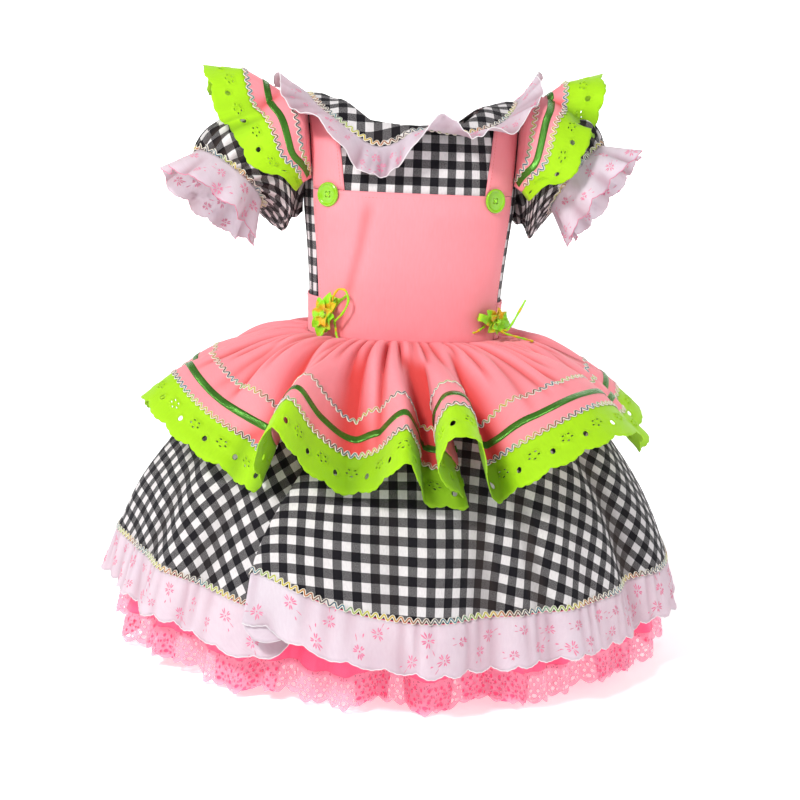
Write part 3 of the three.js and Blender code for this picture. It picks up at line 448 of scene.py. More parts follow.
def clear_of_sleeve(p, name, margin):
    """Pushes points out of the puff of a sleeve, so that the wing lies over it."""
    reach = abs(SLEEVES[name][1][0]) - SLEEVE_INSIDE[0]
    run = np.clip((np.abs(p[..., 0]) - SLEEVE_INSIDE[0]) / reach, 0, 1)
    middle = sleeve_middle(name, run)
    d = p - middle
    turn = (np.arctan2(-d[..., 1], d[..., 2]) / (2 * math.pi) + 1) % 1
    far = np.linalg.norm(d, axis=-1)
    least = np.linalg.norm(sleeve_at(name, turn, run, crease=False) - middle, axis=-1) + margin
    return np.where((far < least)[..., None], middle + unit(d) * least[..., None], p)


def wing_base(side, run):
    """The sewn edge of a wing, beside the strap's outer edge."""
    front = run < 0.5
    share = np.where(front, run * 2, (1 - run) * 2)
    up_front, up_back = lerp(WING_FRONT, 0.99, share), lerp(WING_BACK, 0.99, share)
    line = side * STRAP_OUT + 0 * run
    f = bodice_at(line, up_front, "front", WING_RISE)
    b = bodice_at(line, up_back, "back", WING_RISE)
    # Over the ridge the two sides meet in one soft arch.
    near = np.clip(0.5 + (run - 0.5) / 0.08, 0, 1)[..., None]
    blend = smooth(0, 1, near)
    p = f * (1 - blend) + b * blend
    return p + np.array([side * WING_BESIDE, 0, 0])


def wing_at(name, run, out):
    side = SLEEVES[name][0]
    run, out = floats(run, out)
    reach, rise = WING_SET[name]
    width = WING.read(run, "width")
    fall = unit(vec(side * WING.read(run, "out"), -WING.read(run, "forward"),
                    WING.read(run, "up") + rise * (width / 80) ** 2))
    length = width * out * reach
    wave = WING_WAVE * np.sin(2 * math.pi * WING_WAVES * run) * out
    arch = -WING_ARCH * (length / 90) ** 2
    p = wing_base(side, run) + fall * length[..., None]
    p[..., 2] += arch + wave
    lifted = clear_of_sleeve(p, name, WING_CLEAR * (0.6 + 0.4 * out))
    return lerp(p, lifted, smooth(0, 0.15, out)[..., None])


def wing_lace_at(name, run, v):
    run, v = floats(run, v)
    edge = wing_at(name, run, 1 + 0 * v)
    fall = unit(edge - wing_at(name, run, 0.85 + 0 * v))
    fall = unit(fall + np.array([0, 0, -0.4]))
    p = edge + fall * (SEAM + WING.read(run, "lace") * v)[..., None]
    wave = WING_LACE_WAVE * v * np.sin(2 * math.pi * WING_LACE_WAVES * run + 1)
    p[..., 2] += wave * smooth(0, 0.2, run) * smooth(1, 0.8, run)
    lifted = clear_of_sleeve(p, name, WING_CLEAR + 0 * v)
    return lerp(p, lifted, smooth(0, 0.3, v)[..., None])


def neck_at(angle):
    """The neckline's edge by angle round the neck, its own points joined straight."""
    a = turned(angle)
    front = np.abs(a) <= 90
    from_centre = np.where(front, np.abs(a), 180 - np.abs(a))
    line = np.minimum(np.sin(np.radians(from_centre)) * 2, 2)
    p = np.where(front[..., None], bodice_at(line, 1, "front"), bodice_at(line, 1, "back"))
    p[..., 0] *= np.sign(a)
    return p


def collar_edge(angle):
    a = turned(angle)
    at = [COLLAR_EDGE.read(np.abs(a), c) for c in "xyz"]
    return vec(np.sign(a) * at[0], at[1], at[2] + COLLAR_SAG.read(a, "rise"))


def collar_angle(u):
    return -179.4 + 358.8 * np.asarray(u, float)


def collar_at(u, v):
    u, v = floats(u, v)
    inner = neck_at(collar_angle(u))
    inner[..., 2] += COLLAR_LIFT
    p = lerp(inner, collar_edge(collar_angle(u)), v[..., None])
    p[..., 2] += 2.5 * np.sin(math.pi * v)
    return p


def neck_frill_at(u, v):
    u, v = floats(u, v)
    angle = collar_angle(u)
    edge = collar_edge(angle)
    away, down, width = (NECK_FALL.read(angle, c)[..., None] for c in ("out", "down", "width"))
    out = unit(vec(edge[..., 0], edge[..., 1] * 1.25, 0))
    up = np.array([0, 0, 1.0])
    fall = unit(out * away - up * down)
    swing = unit(up * away + out * down)
    turns = NECK_WAVES * u + 0.12 * np.sin(2 * math.pi * 4.3 * u + 1)
    wave = NECK_WAVE * v * np.sin(2 * math.pi * turns + 1.2) * (1 + 0.3 * np.sin(2 * math.pi * 5.3 * u))
    wave = wave + 1.3 * v * np.sin(2 * math.pi * (41 * u + 0.6 * np.sin(2 * math.pi * 7 * u)))
    wave = wave + 0.9 * crumple(u * 560, v * 38, 17, 31) * v
    return edge + fall * (4 * SEAM + width * v[..., None]) + swing * wave[..., None]


def frontness(angle):
    """1 at the front, falling away to 0 at the back."""
    return ((1 + np.cos(np.radians(angle))) / 2) ** 1.6


def tube_at(table, angle, down, fold):
    power = 2 + (BODY_POWER - 2) * (1 - smooth(0, 0.3, down))  # as boxy as the torso at the waist
    p = oval(angle, table.read(down, "half_width") + fold, table.read(down, "half_depth") + fold,
             table.read(down, "z"), power)
    drop = FRONT_DROP if table is SKIRT else PETTICOAT_DROP
    p[..., 2] -= drop * frontness(angle) * np.asarray(down) ** 1.5
    return p


def skirt_fold(angle, down):
    fold = SKIRT_SWAY * np.cos(np.radians(SKIRT_SWAYS * angle + 20))
    for at, depth, width in SKIRT_FOLDS:
        fold = fold - depth * np.exp(-((turned(angle - at) / width) ** 2))
    return fold * smooth(0.15, 1, down)


# Where the front of the skirt laps over its left side: degrees of the lap's middle, of half its width and of
# its swing, then mm that the layers stand apart, that the front's edge lifts and that the side's edge drops.
LAP = {"angle": -25.5, "width": 4.5, "swing": 9.0, "apart": 9.0, "lift": 30.0, "drop": 8.0}


def skirt_shape(angle, down, fold):
    """The skirt's tube, with its front lapped over its left side towards the hem."""
    away = turned(angle - LAP["angle"]) / LAP["width"]
    beyond = np.maximum(np.abs(away) - 1, 0)
    inside = np.abs(away) * np.exp((1 - away**2) / 2)
    reach = np.where(np.abs(away) < 1, inside, np.exp(-((beyond / 2.4) ** 2)))
    grown = smooth(0.3, 1, down)
    late = smooth(0.45, 1, down)
    over = np.exp(-(((away - 1) / np.where(away > 1, 2.2, 0.8)) ** 2))
    under = np.exp(-(((away + 1) / np.where(away < -1, 2.6, 0.8)) ** 2))
    apart = LAP["apart"] * np.tanh(1.5 * away) * np.exp(-((away / 4) ** 2))
    p = tube_at(SKIRT, angle - LAP["swing"] * np.sign(away) * reach * grown, down, fold + apart * grown)
    p[..., 2] += (LAP["lift"] * over - LAP["drop"] * under) * late
    return p


def skirt_cones(angle):
    """Shallow, uneven cones that the skirt falls in, in mm."""
    return 3.5 * ripple(angle, 17, 60 * ripple(angle, 3))


def skirt_at(angle, down):
    angle, down = floats(angle, down)
    cones = skirt_cones(angle) * smooth(0.3, 1, down)
    soft = 2.0 * crumple(angle * 4, down * 260, 130, 5) * smooth(0.1, 0.5, down) * (1 - smooth(0.9, 1, down))
    return skirt_shape(angle, down, skirt_fold(angle, down) + soft + cones)


def hem_frill_at(angle, v):
    angle, v = floats(angle, v)
    turns = np.radians(HEM_FRILL["waves"] * angle + 26 * ripple(angle, 5))
    wave = HEM_FRILL["wave"] * (np.sin(turns) + 0.35 * np.sin(2.6 * turns)) * v
    fold = skirt_fold(angle, 1) + skirt_cones(angle) + HEM_FRILL["flare"] * v + wave
    p = skirt_shape(angle, 1 + 0 * v, fold)
    crease = 0.8 * crumple(angle * 5, v * 46, 24, 9) * v
    crease = crease + 0.9 * rounded(95 * angle / 360 + 0.4 * ripple(angle, 31), 0.9) * (1 - 0.6 * v)
    tucked = np.exp(-(((turned(angle - LAP["angle"]) / LAP["width"] + 0.8) / 0.8) ** 2))  # hidden in the lap
    p[..., 2] -= SEAM + v * (HEM_FRILL["drop"] + 1.5 * ripple(angle, 9)) * (1 - 0.8 * tucked)
    return p + across(angle) * crease[..., None]


def pleat_wave(angle):
    """Flat-faced pleats, from -1 to 1."""
    phase = (np.asarray(angle, float) + 90) / 180 * PETTICOAT_PLEATS / 2
    return np.clip(1.5 * np.sin(2 * math.pi * phase - math.pi / 2), -1, 1)


def petticoat_pleat(angle):
    """Narrow pleats on broad, uneven ones."""
    broad = np.tanh(3 * ripple(angle, 19, 70 * ripple(angle, 5)))
    return PETTICOAT_PLEAT * (0.55 * pleat_wave(angle + 1.2 * ripple(angle, 13)) + 0.8 * broad)


def petticoat_step(angle):
    """How far the hem of each broad pleat drops or rises, from -1 to 1."""
    return np.tanh(2.5 * ripple(angle, 15, 60 * ripple(angle, 4, 30)))


def petticoat_at(angle, down):
    angle, down = floats(angle, down)
    crush = 2.0 * crumple(angle * 5, down * 270, 34, 13)
    crush = crush * smooth(0.3, 0.6, down) * (1 - smooth(0.92, 1, down))
    p = tube_at(PETTICOAT, angle, down, petticoat_pleat(angle) * smooth(0.2, 1, down) + crush)
    p[..., 2] -= PETTICOAT_STEP * petticoat_step(angle) * smooth(0.6, 1, down)
    return p


def petticoat_lace_at(angle, v):
    angle, v = floats(angle, v)
    ruffle = 2.4 * v * ripple(angle, 43, 120 * ripple(angle, 7))
    p = tube_at(PETTICOAT, angle, 1 + 0 * v, petticoat_pleat(angle) + PETTICOAT_LACE["flare"] * v + ruffle)
    p[..., 2] -= SEAM + v * (PETTICOAT_LACE["drop"] - 1.5) + PETTICOAT_STEP * petticoat_step(angle)
    return p


def peplum_length(angle):
    return PEPLUM["length"] + PEPLUM["longer"] * frontness(angle)


def peplum_run(angle, length):
    """Follows the overskirt down from the waist for a length of cloth, in an arc whose slope steepens."""
    angle, length = floats(angle, length)
    steps = 12
    half_width, half_depth = TORSO.rows[0, 2:4] + PEPLUM["top_out"]
    top = oval(angle, half_width, half_depth, PEPLUM["top_z"], BODY_POWER)
    lift = FLUTES.read(turned(angle), "lift")
    swing = FLUTES.read(turned(angle), "shift") * smooth(0.15, 0.95, length / peplum_length(angle))
    out, z = 0.0, 0.0
    for k in range(steps):
        share = ((k + 0.5) / steps) * length / peplum_length(angle)
        on_lace = smooth(0.98, 1.08, share)
        slope = lerp(PEPLUM["slope_top"], PEPLUM["slope_hem"], np.clip(share, 0, 1) ** 1.15)
        lifted = slope - lift * smooth(0.1, 0.8, share)
        fall = np.radians(lerp(lifted, PEPLUM["lace_slope"] - 0.3 * lift, on_lace))
        out = out + np.cos(fall) * length / steps
        z = z - np.sin(fall) * length / steps
    way = across(angle + swing) * np.array([1, PEPLUM["deeper"], 1])
    p = top + way * np.asarray(out)[..., None]
    p[..., 2] += z
    return clear_of_skirt(p, angle, PEPLUM["clear_of_skirt"], smooth(0, 20, length))


def clear_of_skirt(p, angle, margin, share):
    """Moves points out from the skirt until a margin lies between, by a share that grows from the waist."""
    least = tube_at(SKIRT, angle, SKIRT.solve(p[..., 2], "z", 20), margin)
    short = np.hypot(least[..., 0], least[..., 1]) - np.hypot(p[..., 0], p[..., 1])
    return p + across(angle) * (np.maximum(short, 0) * share)[..., None]


PEPLUM_LEAST = 6.0  # the overskirt's folds stay this far out from the skirt
PEPLUM_GATHERS = (  # turns round the waist, height, seed, then shares of the length: start, full, fade, gone
    (72, 1.9, 0, -0.2, 0.0, 0.16, 0.5),
    (34, 3.6, 1, 0.0, 0.16, 0.30, 0.78),
    (17, 4.0, 2, 0.05, 0.45, 0.55, 0.98),
)
PEPLUM_HOLLOWS = (  # deep valleys between the front's big flutes: angle, depth, width, start, swing
    (-18.5, 15, 6.0, 0.14, 1.5), (-2.2, 15, 3.2, 0.08, 2.5), (11.2, 16, 4.6, 0.12, 2.0),
    (25, 5, 4, 0.15, 0), (-38, 12, 5, 0.1, 1.0), (57, 10, 6, 0.15, 0),
    (-57, 8, 6, 0.15, 0), (79, 10, 6, 0.15, 0), (-83, 8, 5, 0.15, 0),
)


def rounded(turns, sharp=0.75):
    """Rounded ridges between sharp valleys, from -1 in the valleys to 1 on the ridges."""
    return 2 * np.abs(np.sin(math.pi * turns)) ** sharp - 1


def peplum_folds(angle, v):
    """How far the overskirt's gathers and broader folds stand out, in mm."""
    total = 0.0
    for turns, height, seed, start, full, fade, gone in PEPLUM_GATHERS:
        drift = 0.45 * ripple(angle, 7, 50 * seed) + 0.3 * ripple(angle, 17, 80 * seed)
        deep = 1 + 0.45 * ripple(angle, 11, 130 * seed)
        reach = gone + 0.12 * ripple(angle, 13, 90 * seed)
        grown = lerp(0.35, 1.0, smooth(start, full, v)) * (1 - smooth(fade, reach, v))
        total = total + height * deep * grown * rounded(turns * angle / 360 + drift, 0.8)
    for at, depth, width, start, swing in PEPLUM_HOLLOWS:
        away = turned(angle - at - swing * v) / (width * lerp(0.5, 1.0, smooth(start, 0.7, v)))
        valley = np.where(away < 0, np.exp(-((1.7 * away) ** 2)), np.exp(-(away**2)))
        total = total - depth * valley * smooth(start, 0.5, v) * (1 - smooth(0.66, 1.0, v))
    return total


def peplum_at(angle, v):
    """v is 0 at the waist and 1 at the seam of the lace."""
    angle, v = floats(angle, v)
    p = peplum_run(angle, peplum_length(angle) * v)
    fold = peplum_folds(angle, v)
    tucked = 1 - smooth(0, 0.035, v)
    p = p + across(angle) * (fold * lerp(0.4, 0.5, tucked) - 2.6 * tucked)[..., None]
    p[..., 2] += fold * 0.9 * (1 - tucked) + 1.7 * tucked
    return clear_of_skirt(p, angle, PEPLUM_LEAST, smooth(0.05, 0.2, v))


def peplum_lace_at(angle, v):
    angle, v = floats(angle, v)
    return peplum_run(angle, peplum_length(angle) + SEAM + v * PEPLUM["lace"])


# ---------------------------------------------------------------- materials


class Look:
    """A procedural material: its node tree with short helpers for wiring."""

    def __init__(self, name, color, roughness, **shader):
        self.material = bpy.data.materials.new(name)
        self.material.use_nodes = True
        self.nodes = self.material.node_tree.nodes
        self.links = self.material.node_tree.links
        self.bsdf = self.nodes["Principled BSDF"]
        self.set(self.bsdf, "Base Color", color)
        self.set(self.bsdf, "Roughness", roughness)
        for key, value in shader.items():
            self.set(self.bsdf, key.replace("_", " "), value)

    def set(self, node, socket, value):
        if isinstance(value, bpy.types.NodeSocket):
            self.links.new(value, node.inputs[socket])
        elif isinstance(value, (tuple, list)) and len(value) == 3 and node.inputs[socket].type == "RGBA":
            node.inputs[socket].default_value = (*value, 1)
        else:
            node.inputs[socket].default_value = value

    def node(self, kind, values=(), **settings):
        n = self.nodes.new("ShaderNode" + kind)
        for key, value in settings.items():
            setattr(n, key, value)
        for socket, value in dict(values).items():
            self.set(n, socket, value)
        return n

    def base(self, color):
        self.set(self.bsdf, "Base Color", color)

    def math(self, operation, a, b=0.0, c=0.0):
        n = self.node("Math", operation=operation)
        for k, value in enumerate((a, b, c)):
            self.set(n, k, value)
        return n.outputs[0]

    def mix(self, share, a, b):
        n = self.node("Mix", data_type="RGBA")
        self.set(n, 0, share)
        self.set(n, 6, a)
        self.set(n, 7, b)
        return n.outputs[2]

    def flat(self):
        """Flat coordinates on the cloth, in mm, as two sockets."""
        split = self.node("SeparateXYZ", {"Vector": self.node("UVMap", uv_map="flat").outputs[0]})
        return [self.math("MULTIPLY", split.outputs[k], 1000.0) for k in (0, 1)]

    def noise(self, scale, detail=3.0, roughness=0.6):
        """Noise over the object, scale in waves a metre."""
        where = self.node("TexCoord").outputs["Object"]
        values = {"Vector": where, "Scale": scale, "Detail": detail, "Roughness": roughness}
        return self.node("TexNoise", values).outputs["Fac"]

    def flat_noise(self, u_scale, v_scale):
        """Streaky noise over the flat cloth: waves a metre along u and along v."""
        where = self.node("UVMap", uv_map="flat").outputs[0]
        stretched = self.node("Mapping", {"Vector": where, "Scale": (u_scale, v_scale, 1)}).outputs[0]
        return self.node("TexNoise", {"Vector": stretched, "Scale": 1.0, "Detail": 2.0}).outputs["Fac"]

    def painted_fold_shade(self, share, level, deep):
        """Painted shade: the colour turns towards a dark shade colour, by up to a share, where the cloth lies
        down in a fold.
        """
        fold_shade = self.node("Attribute", attribute_name="fold_shade").outputs["Fac"]
        rounded_off = self.math("POWER", fold_shade, 0.8)
        return self.mix(self.math("MULTIPLY", rounded_off, share), level, deep)

    def bump(self, height, distance, strength=1.0, onto=None):
        n = self.node("Bump", {"Height": height, "Distance": distance, "Strength": strength})
        if onto is not None:
            self.links.new(onto, n.inputs["Normal"])
        return n.outputs[0]

    def wave(self, value, pitch):
        """A thread's rounded top: 0 to 1 over each pitch in mm."""
        turns = self.math("MULTIPLY", value, 2 * math.pi / pitch)
        return self.math("MULTIPLY_ADD", self.math("SINE", turns), 0.5, 0.5)

    def weave(self, pitch):
        """Which thread is on top of a plain weave (0 or 1), and the height of the threads."""
        u, v = self.flat()
        cell_u = self.math("FLOOR", self.math("DIVIDE", u, pitch))
        cell_v = self.math("FLOOR", self.math("DIVIDE", v, pitch))
        odd = self.math("FLOORED_MODULO", self.math("ADD", cell_u, cell_v), 2.0)
        over = self.math("GREATER_THAN", odd, 0.5)
        return over, self.chosen(over, self.wave(u, pitch), self.wave(v, pitch))

    def chosen(self, over, across, along):
        """The value of the thread that is on top."""
        return self.node("Mix", {0: over, 2: across, 3: along}, data_type="FLOAT").outputs[0]

    def see_through(self, light, share):
        """Lets some light through the cloth, tinted as the cloth's lit side is."""
        through = self.node("BsdfTranslucent", {"Color": light})
        mixed = self.node("MixShader", {0: share, 1: self.bsdf.outputs[0], 2: through.outputs[0]})
        self.links.new(mixed.outputs[0], self.nodes["Material Output"].inputs["Surface"])

    def normal(self, socket):
        self.links.new(socket, self.bsdf.inputs["Normal"])


GINGHAM_STRIPE = 8.6  # width of one stripe, mm
GINGHAM_THREAD = 0.43


def gingham():
    look = Look("gingham", (0.5, 0.5, 0.5), 0.82, Sheen_Weight=0.02, Specular_IOR_Level=0.12)
    u, v = look.flat()
    over, height = look.weave(GINGHAM_THREAD)
    dark = []
    for flat in (u, v):
        wobble = look.math("MULTIPLY_ADD", look.noise(55, 1.0), 0.5, flat)
        band = look.math("FLOORED_MODULO", look.math("DIVIDE", wobble, GINGHAM_STRIPE), 2.0)
        dark.append(look.math("GREATER_THAN", band, 1.0))
    on_top = look.chosen(over, *dark)
    near_dark = look.math("MAXIMUM", *dark)
    slub = look.flat_noise(900, 240)
    white = look.mix(slub, (0.54, 0.51, 0.52), (0.80, 0.77, 0.78))
    black = look.mix(slub, (0.002, 0.002, 0.004), (0.011, 0.009, 0.013))
    shaded = look.mix(look.math("MULTIPLY", near_dark, 0.72), white, (0.02, 0.018, 0.022))
    cloth_tone = look.mix(on_top, shaded, black)
    # Painted shade: the check turns to a warm near-black down in the folds.
    look.base(look.painted_fold_shade(0.7, cloth_tone, (0.05, 0.035, 0.03)))
    look.set(look.bsdf, "Roughness", look.math("MULTIPLY_ADD", on_top, -0.12, 0.84))
    soft = look.bump(look.noise(38, 3.0), 0.0016, 0.5)
    look.normal(look.bump(height, 0.00012, 0.6, soft))
    return look.material


def salmon():
    look = Look("salmon_cotton", (0.9, 0.2, 0.22), 0.68, Sheen_Weight=0.25, Sheen_Roughness=0.4,
                Sheen_Tint=(1, 0.75, 0.75, 1), Specular_IOR_Level=0.3)
    _, height = look.weave(0.32)
    streak = look.flat_noise(520, 90)
    cloud = look.noise(14, 3.0)
    tone = look.math("MULTIPLY_ADD", streak, 0.45, look.math("MULTIPLY", cloud, 0.55))
    level = look.mix(tone, (1.0, 0.27, 0.30), (1.0, 0.37, 0.43))
    # Painted shade: the salmon turns to a deep red down in the folds.
    look.base(look.painted_fold_shade(0.92, level, (0.70, 0.045, 0.035)))
    look.set(look.bsdf, "Roughness", look.math("MULTIPLY_ADD", streak, 0.2, 0.58))
    creased = look.bump(look.noise(30, 4.0, 0.55), 0.0022, 0.45)
    look.normal(look.bump(height, 0.0001, 0.5, creased))
    look.see_through((1.0, 0.12, 0.12), 0.12)
    return look.material


def lime_eyelet():
    look = Look("lime_eyelet", (0.45, 0.9, 0.0), 0.6, Sheen_Weight=0.15, Specular_IOR_Level=0.3)
    _, height = look.weave(0.36)
    streak = look.flat_noise(600, 120)
    tone = look.math("MULTIPLY_ADD", streak, 0.5, look.math("MULTIPLY", look.noise(20), 0.5))
    level = look.mix(tone, (0.34, 0.66, 0.0), (0.52, 0.88, 0.0))
    # Painted shade: the lime turns to a dark green down in the folds.
    look.base(look.painted_fold_shade(0.8, level, (0.18, 0.36, 0.0)))
    creased = look.bump(look.noise(42, 3.0), 0.0016, 0.5)
    look.normal(look.bump(height, 0.0001, 0.6, creased))
    look.see_through((0.6, 1.0, 0.0), 0.22)
    return look.material


def white_lawn(name, cover=1.0):
    """Printed lawn. Cover is how much of what lies behind it hides, where it is thinnest."""
    look = Look(name, (0.86, 0.8, 0.86), 0.75, Sheen_Weight=0.1, Specular_IOR_Level=0.25)
    _, height = look.weave(0.3)
    streak = look.flat_noise(420, 150)
    tone = look.math("MULTIPLY_ADD", streak, 0.5, look.math("MULTIPLY", look.noise(22), 0.5))
    cool = look.mix(look.noise(6, 2.0), (0.68, 0.50, 0.58), (0.62, 0.60, 0.70))
    level = look.mix(tone, cool, (0.87, 0.83, 0.88))
    # Painted shade: the lawn turns to a dusky mauve down in the folds.
    look.base(look.painted_fold_shade(0.7, level, (0.38, 0.19, 0.25)))
    crisp = look.bump(look.noise(60, 4.0), 0.0018, 0.6)
    look.normal(look.bump(height, 0.0001, 0.5, crisp))
    if cover < 1:
        thick = look.math("MULTIPLY_ADD", look.flat_noise(90, 60), 0.5 * (1 - cover), cover)
        look.set(look.bsdf, "Alpha", thick)
    look.see_through((0.95, 0.82, 0.9), 0.3)
    return look.material


def thread(name, low, high, roughness=0.45):
    """Embroidery and sewing thread: fine twisted strands with a silky lustre."""
    look = Look(name, high, roughness, Sheen_Weight=0.3, Specular_IOR_Level=0.5, Anisotropic=0.5)
    u, v = look.flat()
    twist = look.wave(look.math("ADD", u, look.math("MULTIPLY", v, 0.6)), 0.35)
    # Random tone, with painted shade in the grooves between the twisted strands.
    tone_and_twist_shade = look.math("MULTIPLY_ADD", look.noise(60, 2.0), 0.7, look.math("MULTIPLY", twist, 0.3))
    look.base(look.mix(tone_and_twist_shade, low, high))
    look.normal(look.bump(twist, 0.00012, 0.7))
    return look.material


def tulle(name, sheer):
    """Net: a fine honeycomb of threads, with small gaps where it is sheer and none in layers."""
    # The net glows pink with light of its own, by emission: a painted glow, though it is no lamp.
    look = Look(name, (1.0, 0.3, 0.55), 0.6, Sheen_Weight=0.4, Sheen_Roughness=0.3,
                Emission_Color=(1.0, 0.05, 0.16, 1), Emission_Strength=0.22)
    u, v = look.flat()
    pitch = 1.3
    slant = look.math("MULTIPLY", u, 0.8)
    strands = [look.wave(look.math("ADD", v, look.math("MULTIPLY", slant, k)), pitch) for k in (1.0, -1.0)]
    net = look.math("MAXIMUM", *strands)
    cloud = look.noise(18, 3.0)
    look.base(look.mix(cloud, (1.0, 0.12, 0.27), (1.0, 0.24, 0.42)))
    look.normal(look.bump(net, 0.0002, 0.7, look.bump(look.noise(50), 0.0015, 0.5)))
    if sheer:
        solid = look.math("GREATER_THAN", net, 0.34)
        look.set(look.bsdf, "Alpha", look.math("MULTIPLY_ADD", solid, 0.45, 0.52))
        look.see_through((1.0, 0.3, 0.6), 0.25)
    return look.material


def net_lace():
    """Net lace: close-worked motifs outlined on a thin, pale ground."""
    # The lace glows pink with light of its own, by emission: a painted glow, though it is no lamp.
    look = Look("pink_net_lace", (1.0, 0.5, 0.7), 0.6, Sheen_Weight=0.3, Emission_Color=(1.0, 0.3, 0.5, 1),
                Emission_Strength=0.18)
    _, height = look.weave(0.45)
    flat = look.node("UVMap", uv_map="flat").outputs[0]
    outlines = []
    for scale, thick in ((260.0, 0.16), (95.0, 0.09)):  # the net's cells, then the motifs
        cells = look.node("TexVoronoi", {"Vector": flat, "Scale": scale}, feature="DISTANCE_TO_EDGE")
        outlines.append(look.math("LESS_THAN", cells.outputs[0], thick))
    line = look.math("MAXIMUM", *outlines)
    dense = look.math("MAXIMUM", line, look.math("GREATER_THAN", look.flat_noise(120, 120), 0.56))
    look.base(look.mix(dense, (1.0, 0.80, 0.86), (1.0, 0.52, 0.66)))
    look.set(look.bsdf, "Alpha", look.math("MULTIPLY_ADD", dense, 0.6, 0.2))
    look.normal(look.bump(height, 0.00025, 0.8, look.bump(line, 0.0004, 0.8)))
    look.see_through((1.0, 0.5, 0.7), 0.3)
    return look.material


def organza():
    """Shot organza: lime, with gold patches."""
    look = Look("lime_organza", (0.4, 0.9, 0.0), 0.4, Specular_IOR_Level=0.5, Sheen_Weight=0.2)
    u, v = look.flat()
    threads = look.math("MAXIMUM", look.wave(u, 0.5), look.wave(v, 0.5))
    patch = look.node("MapRange", {"Value": look.noise(75, 1.0), "From Min": 0.5, "From Max": 0.6}).outputs[0]
    # Both colours are lighter on the threads and darker between them: painted shade in the weave.
    lime = look.mix(threads, (0.20, 0.62, 0.0), (0.42, 0.95, 0.0))
    gold = look.mix(threads, (0.95, 0.30, 0.0), (1.0, 0.62, 0.0))
    look.base(look.mix(patch, lime, gold))
    look.normal(look.bump(threads, 0.00012, 0.7, look.bump(look.noise(120), 0.001, 0.5)))
    look.see_through((0.5, 1.0, 0.0), 0.25)
    return look.material


def ribbon(name, low, high, metallic, roughness):
    """Woven ribbon: fine ribs across it, lighter on their crowns and darker between them as painted shade,
    and painted glints, a brighter or duller stretch here and there.
    """
    look = Look(name, high, roughness, Metallic=metallic, Anisotropic=0.4, Specular_IOR_Level=0.5)
    u, _ = look.flat()
    ribs = look.wave(u, 0.6)
    # Painted glints in random patches, and painted shade between the ribs: the colour runs from low to high
    # with them.
    painted_glint_and_rib_shade = look.math("MULTIPLY_ADD", look.noise(70, 2.0), 0.6, look.math("MULTIPLY", ribs, 0.4))
    look.base(look.mix(painted_glint_and_rib_shade, low, high))
    look.normal(look.bump(ribs, 0.00012, 0.8, look.bump(look.noise(45), 0.0012, 0.5)))
    return look.material


RICRAC_COLOR_RUN = 96.0  # mm of braid in which its colours come round
RICRAC_COLORS = (  # share of that run, colour
    (0.0, (0.56, 0.42, 0.0)),
    (0.16, (0.42, 0.10, 0.01)),
    (0.34, (0.10, 0.02, 0.012)),
    (0.5, (0.03, 0.04, 0.09)),
    (0.66, (0.02, 0.16, 0.24)),
    (0.84, (0.34, 0.44, 0.0)),
    (1.0, (0.56, 0.42, 0.0)),
)


def ricrac_thread():
    """Variegated braid: pale outlines, and a middle that runs from gold through brown to blue grey."""
    look = Look("ricrac", (0.8, 0.7, 0.4), 0.42, Specular_IOR_Level=0.6, Sheen_Weight=0.2)
    u, v = look.flat()
    drifted = look.math("MULTIPLY_ADD", look.noise(16, 1.0), 60.0, u)
    run = look.math("FRACT", look.math("DIVIDE", drifted, RICRAC_COLOR_RUN))
    ramp = look.node("ValToRGB", {"Fac": run})
    stops = ramp.color_ramp.elements
    while len(stops) < len(RICRAC_COLORS):
        stops.new(0.5)
    for stop, (at, color) in zip(stops, RICRAC_COLORS):
        stop.position = at
        stop.color = (*color, 1)
    edge = look.math("GREATER_THAN", look.math("ABSOLUTE", v), 0.62)
    twist = look.wave(look.math("ADD", u, v), 0.7)
    # The pale outlines darken between the twists of the thread: painted shade.
    pale = look.mix(twist, (0.62, 0.55, 0.42), (0.93, 0.9, 0.84))
    look.base(look.mix(edge, ramp.outputs[0], pale))
    look.normal(look.bump(twist, 0.0002, 0.8))
    return look.material


def plastic(name, color, dark):
    look = Look(name, color, 0.22, Coat_Weight=0.4, Coat_Roughness=0.12, Subsurface_Weight=0.08,
                Subsurface_Radius=(0.004, 0.004, 0.001), Specular_IOR_Level=0.5)
    swirl = look.noise(160, 4.0, 0.7)
    look.base(look.mix(swirl, dark, color))
    look.set(look.bsdf, "Roughness", look.math("MULTIPLY_ADD", look.noise(420), 0.16, 0.16))
    look.normal(look.bump(look.noise(220), 0.0002, 0.3))
    return look.material


def studio_paper(name, glow):
    """White paper, evenly lit from behind."""
    look = Look(name, (0.93, 0.93, 0.93), 0.9, Specular_IOR_Level=0.1, Emission_Color=(1, 1, 1, 1),
                Emission_Strength=glow)
    look.base(look.mix(look.noise(3, 2.0), (0.92, 0.92, 0.92), (0.95, 0.95, 0.95)))
    return look.material


GINGHAM = gingham()
SALMON = salmon()
LIME = lime_eyelet()
LAWN = white_lawn("white_lawn")
SHEER_LAWN = white_lawn("sheer_lawn", 0.7)
TULLE = tulle("pink_tulle", True)
LAYERED_TULLE = tulle("layered_pink_tulle", False)
NET_LACE = net_lace()
RICRAC = ricrac_thread()
DARK_RIBBON = ribbon("green_metallic_ribbon", (0.012, 0.06, 0.004), (0.10, 0.36, 0.03), 0.55, 0.24)
LIME_RIBBON = ribbon("lime_ribbon", (0.30, 0.66, 0.0), (0.55, 1.0, 0.05), 0.0, 0.3)
ORGANZA = organza()
PINK_THREAD = thread("pink_embroidery", (0.60, 0.04, 0.18), (0.95, 0.36, 0.52))
LIME_THREAD = thread("lime_embroidery", (0.30, 0.78, 0.0), (0.5, 0.98, 0.02))
SEWING_THREAD = thread("salmon_thread", (0.75, 0.1, 0.12), (0.95, 0.22, 0.25))
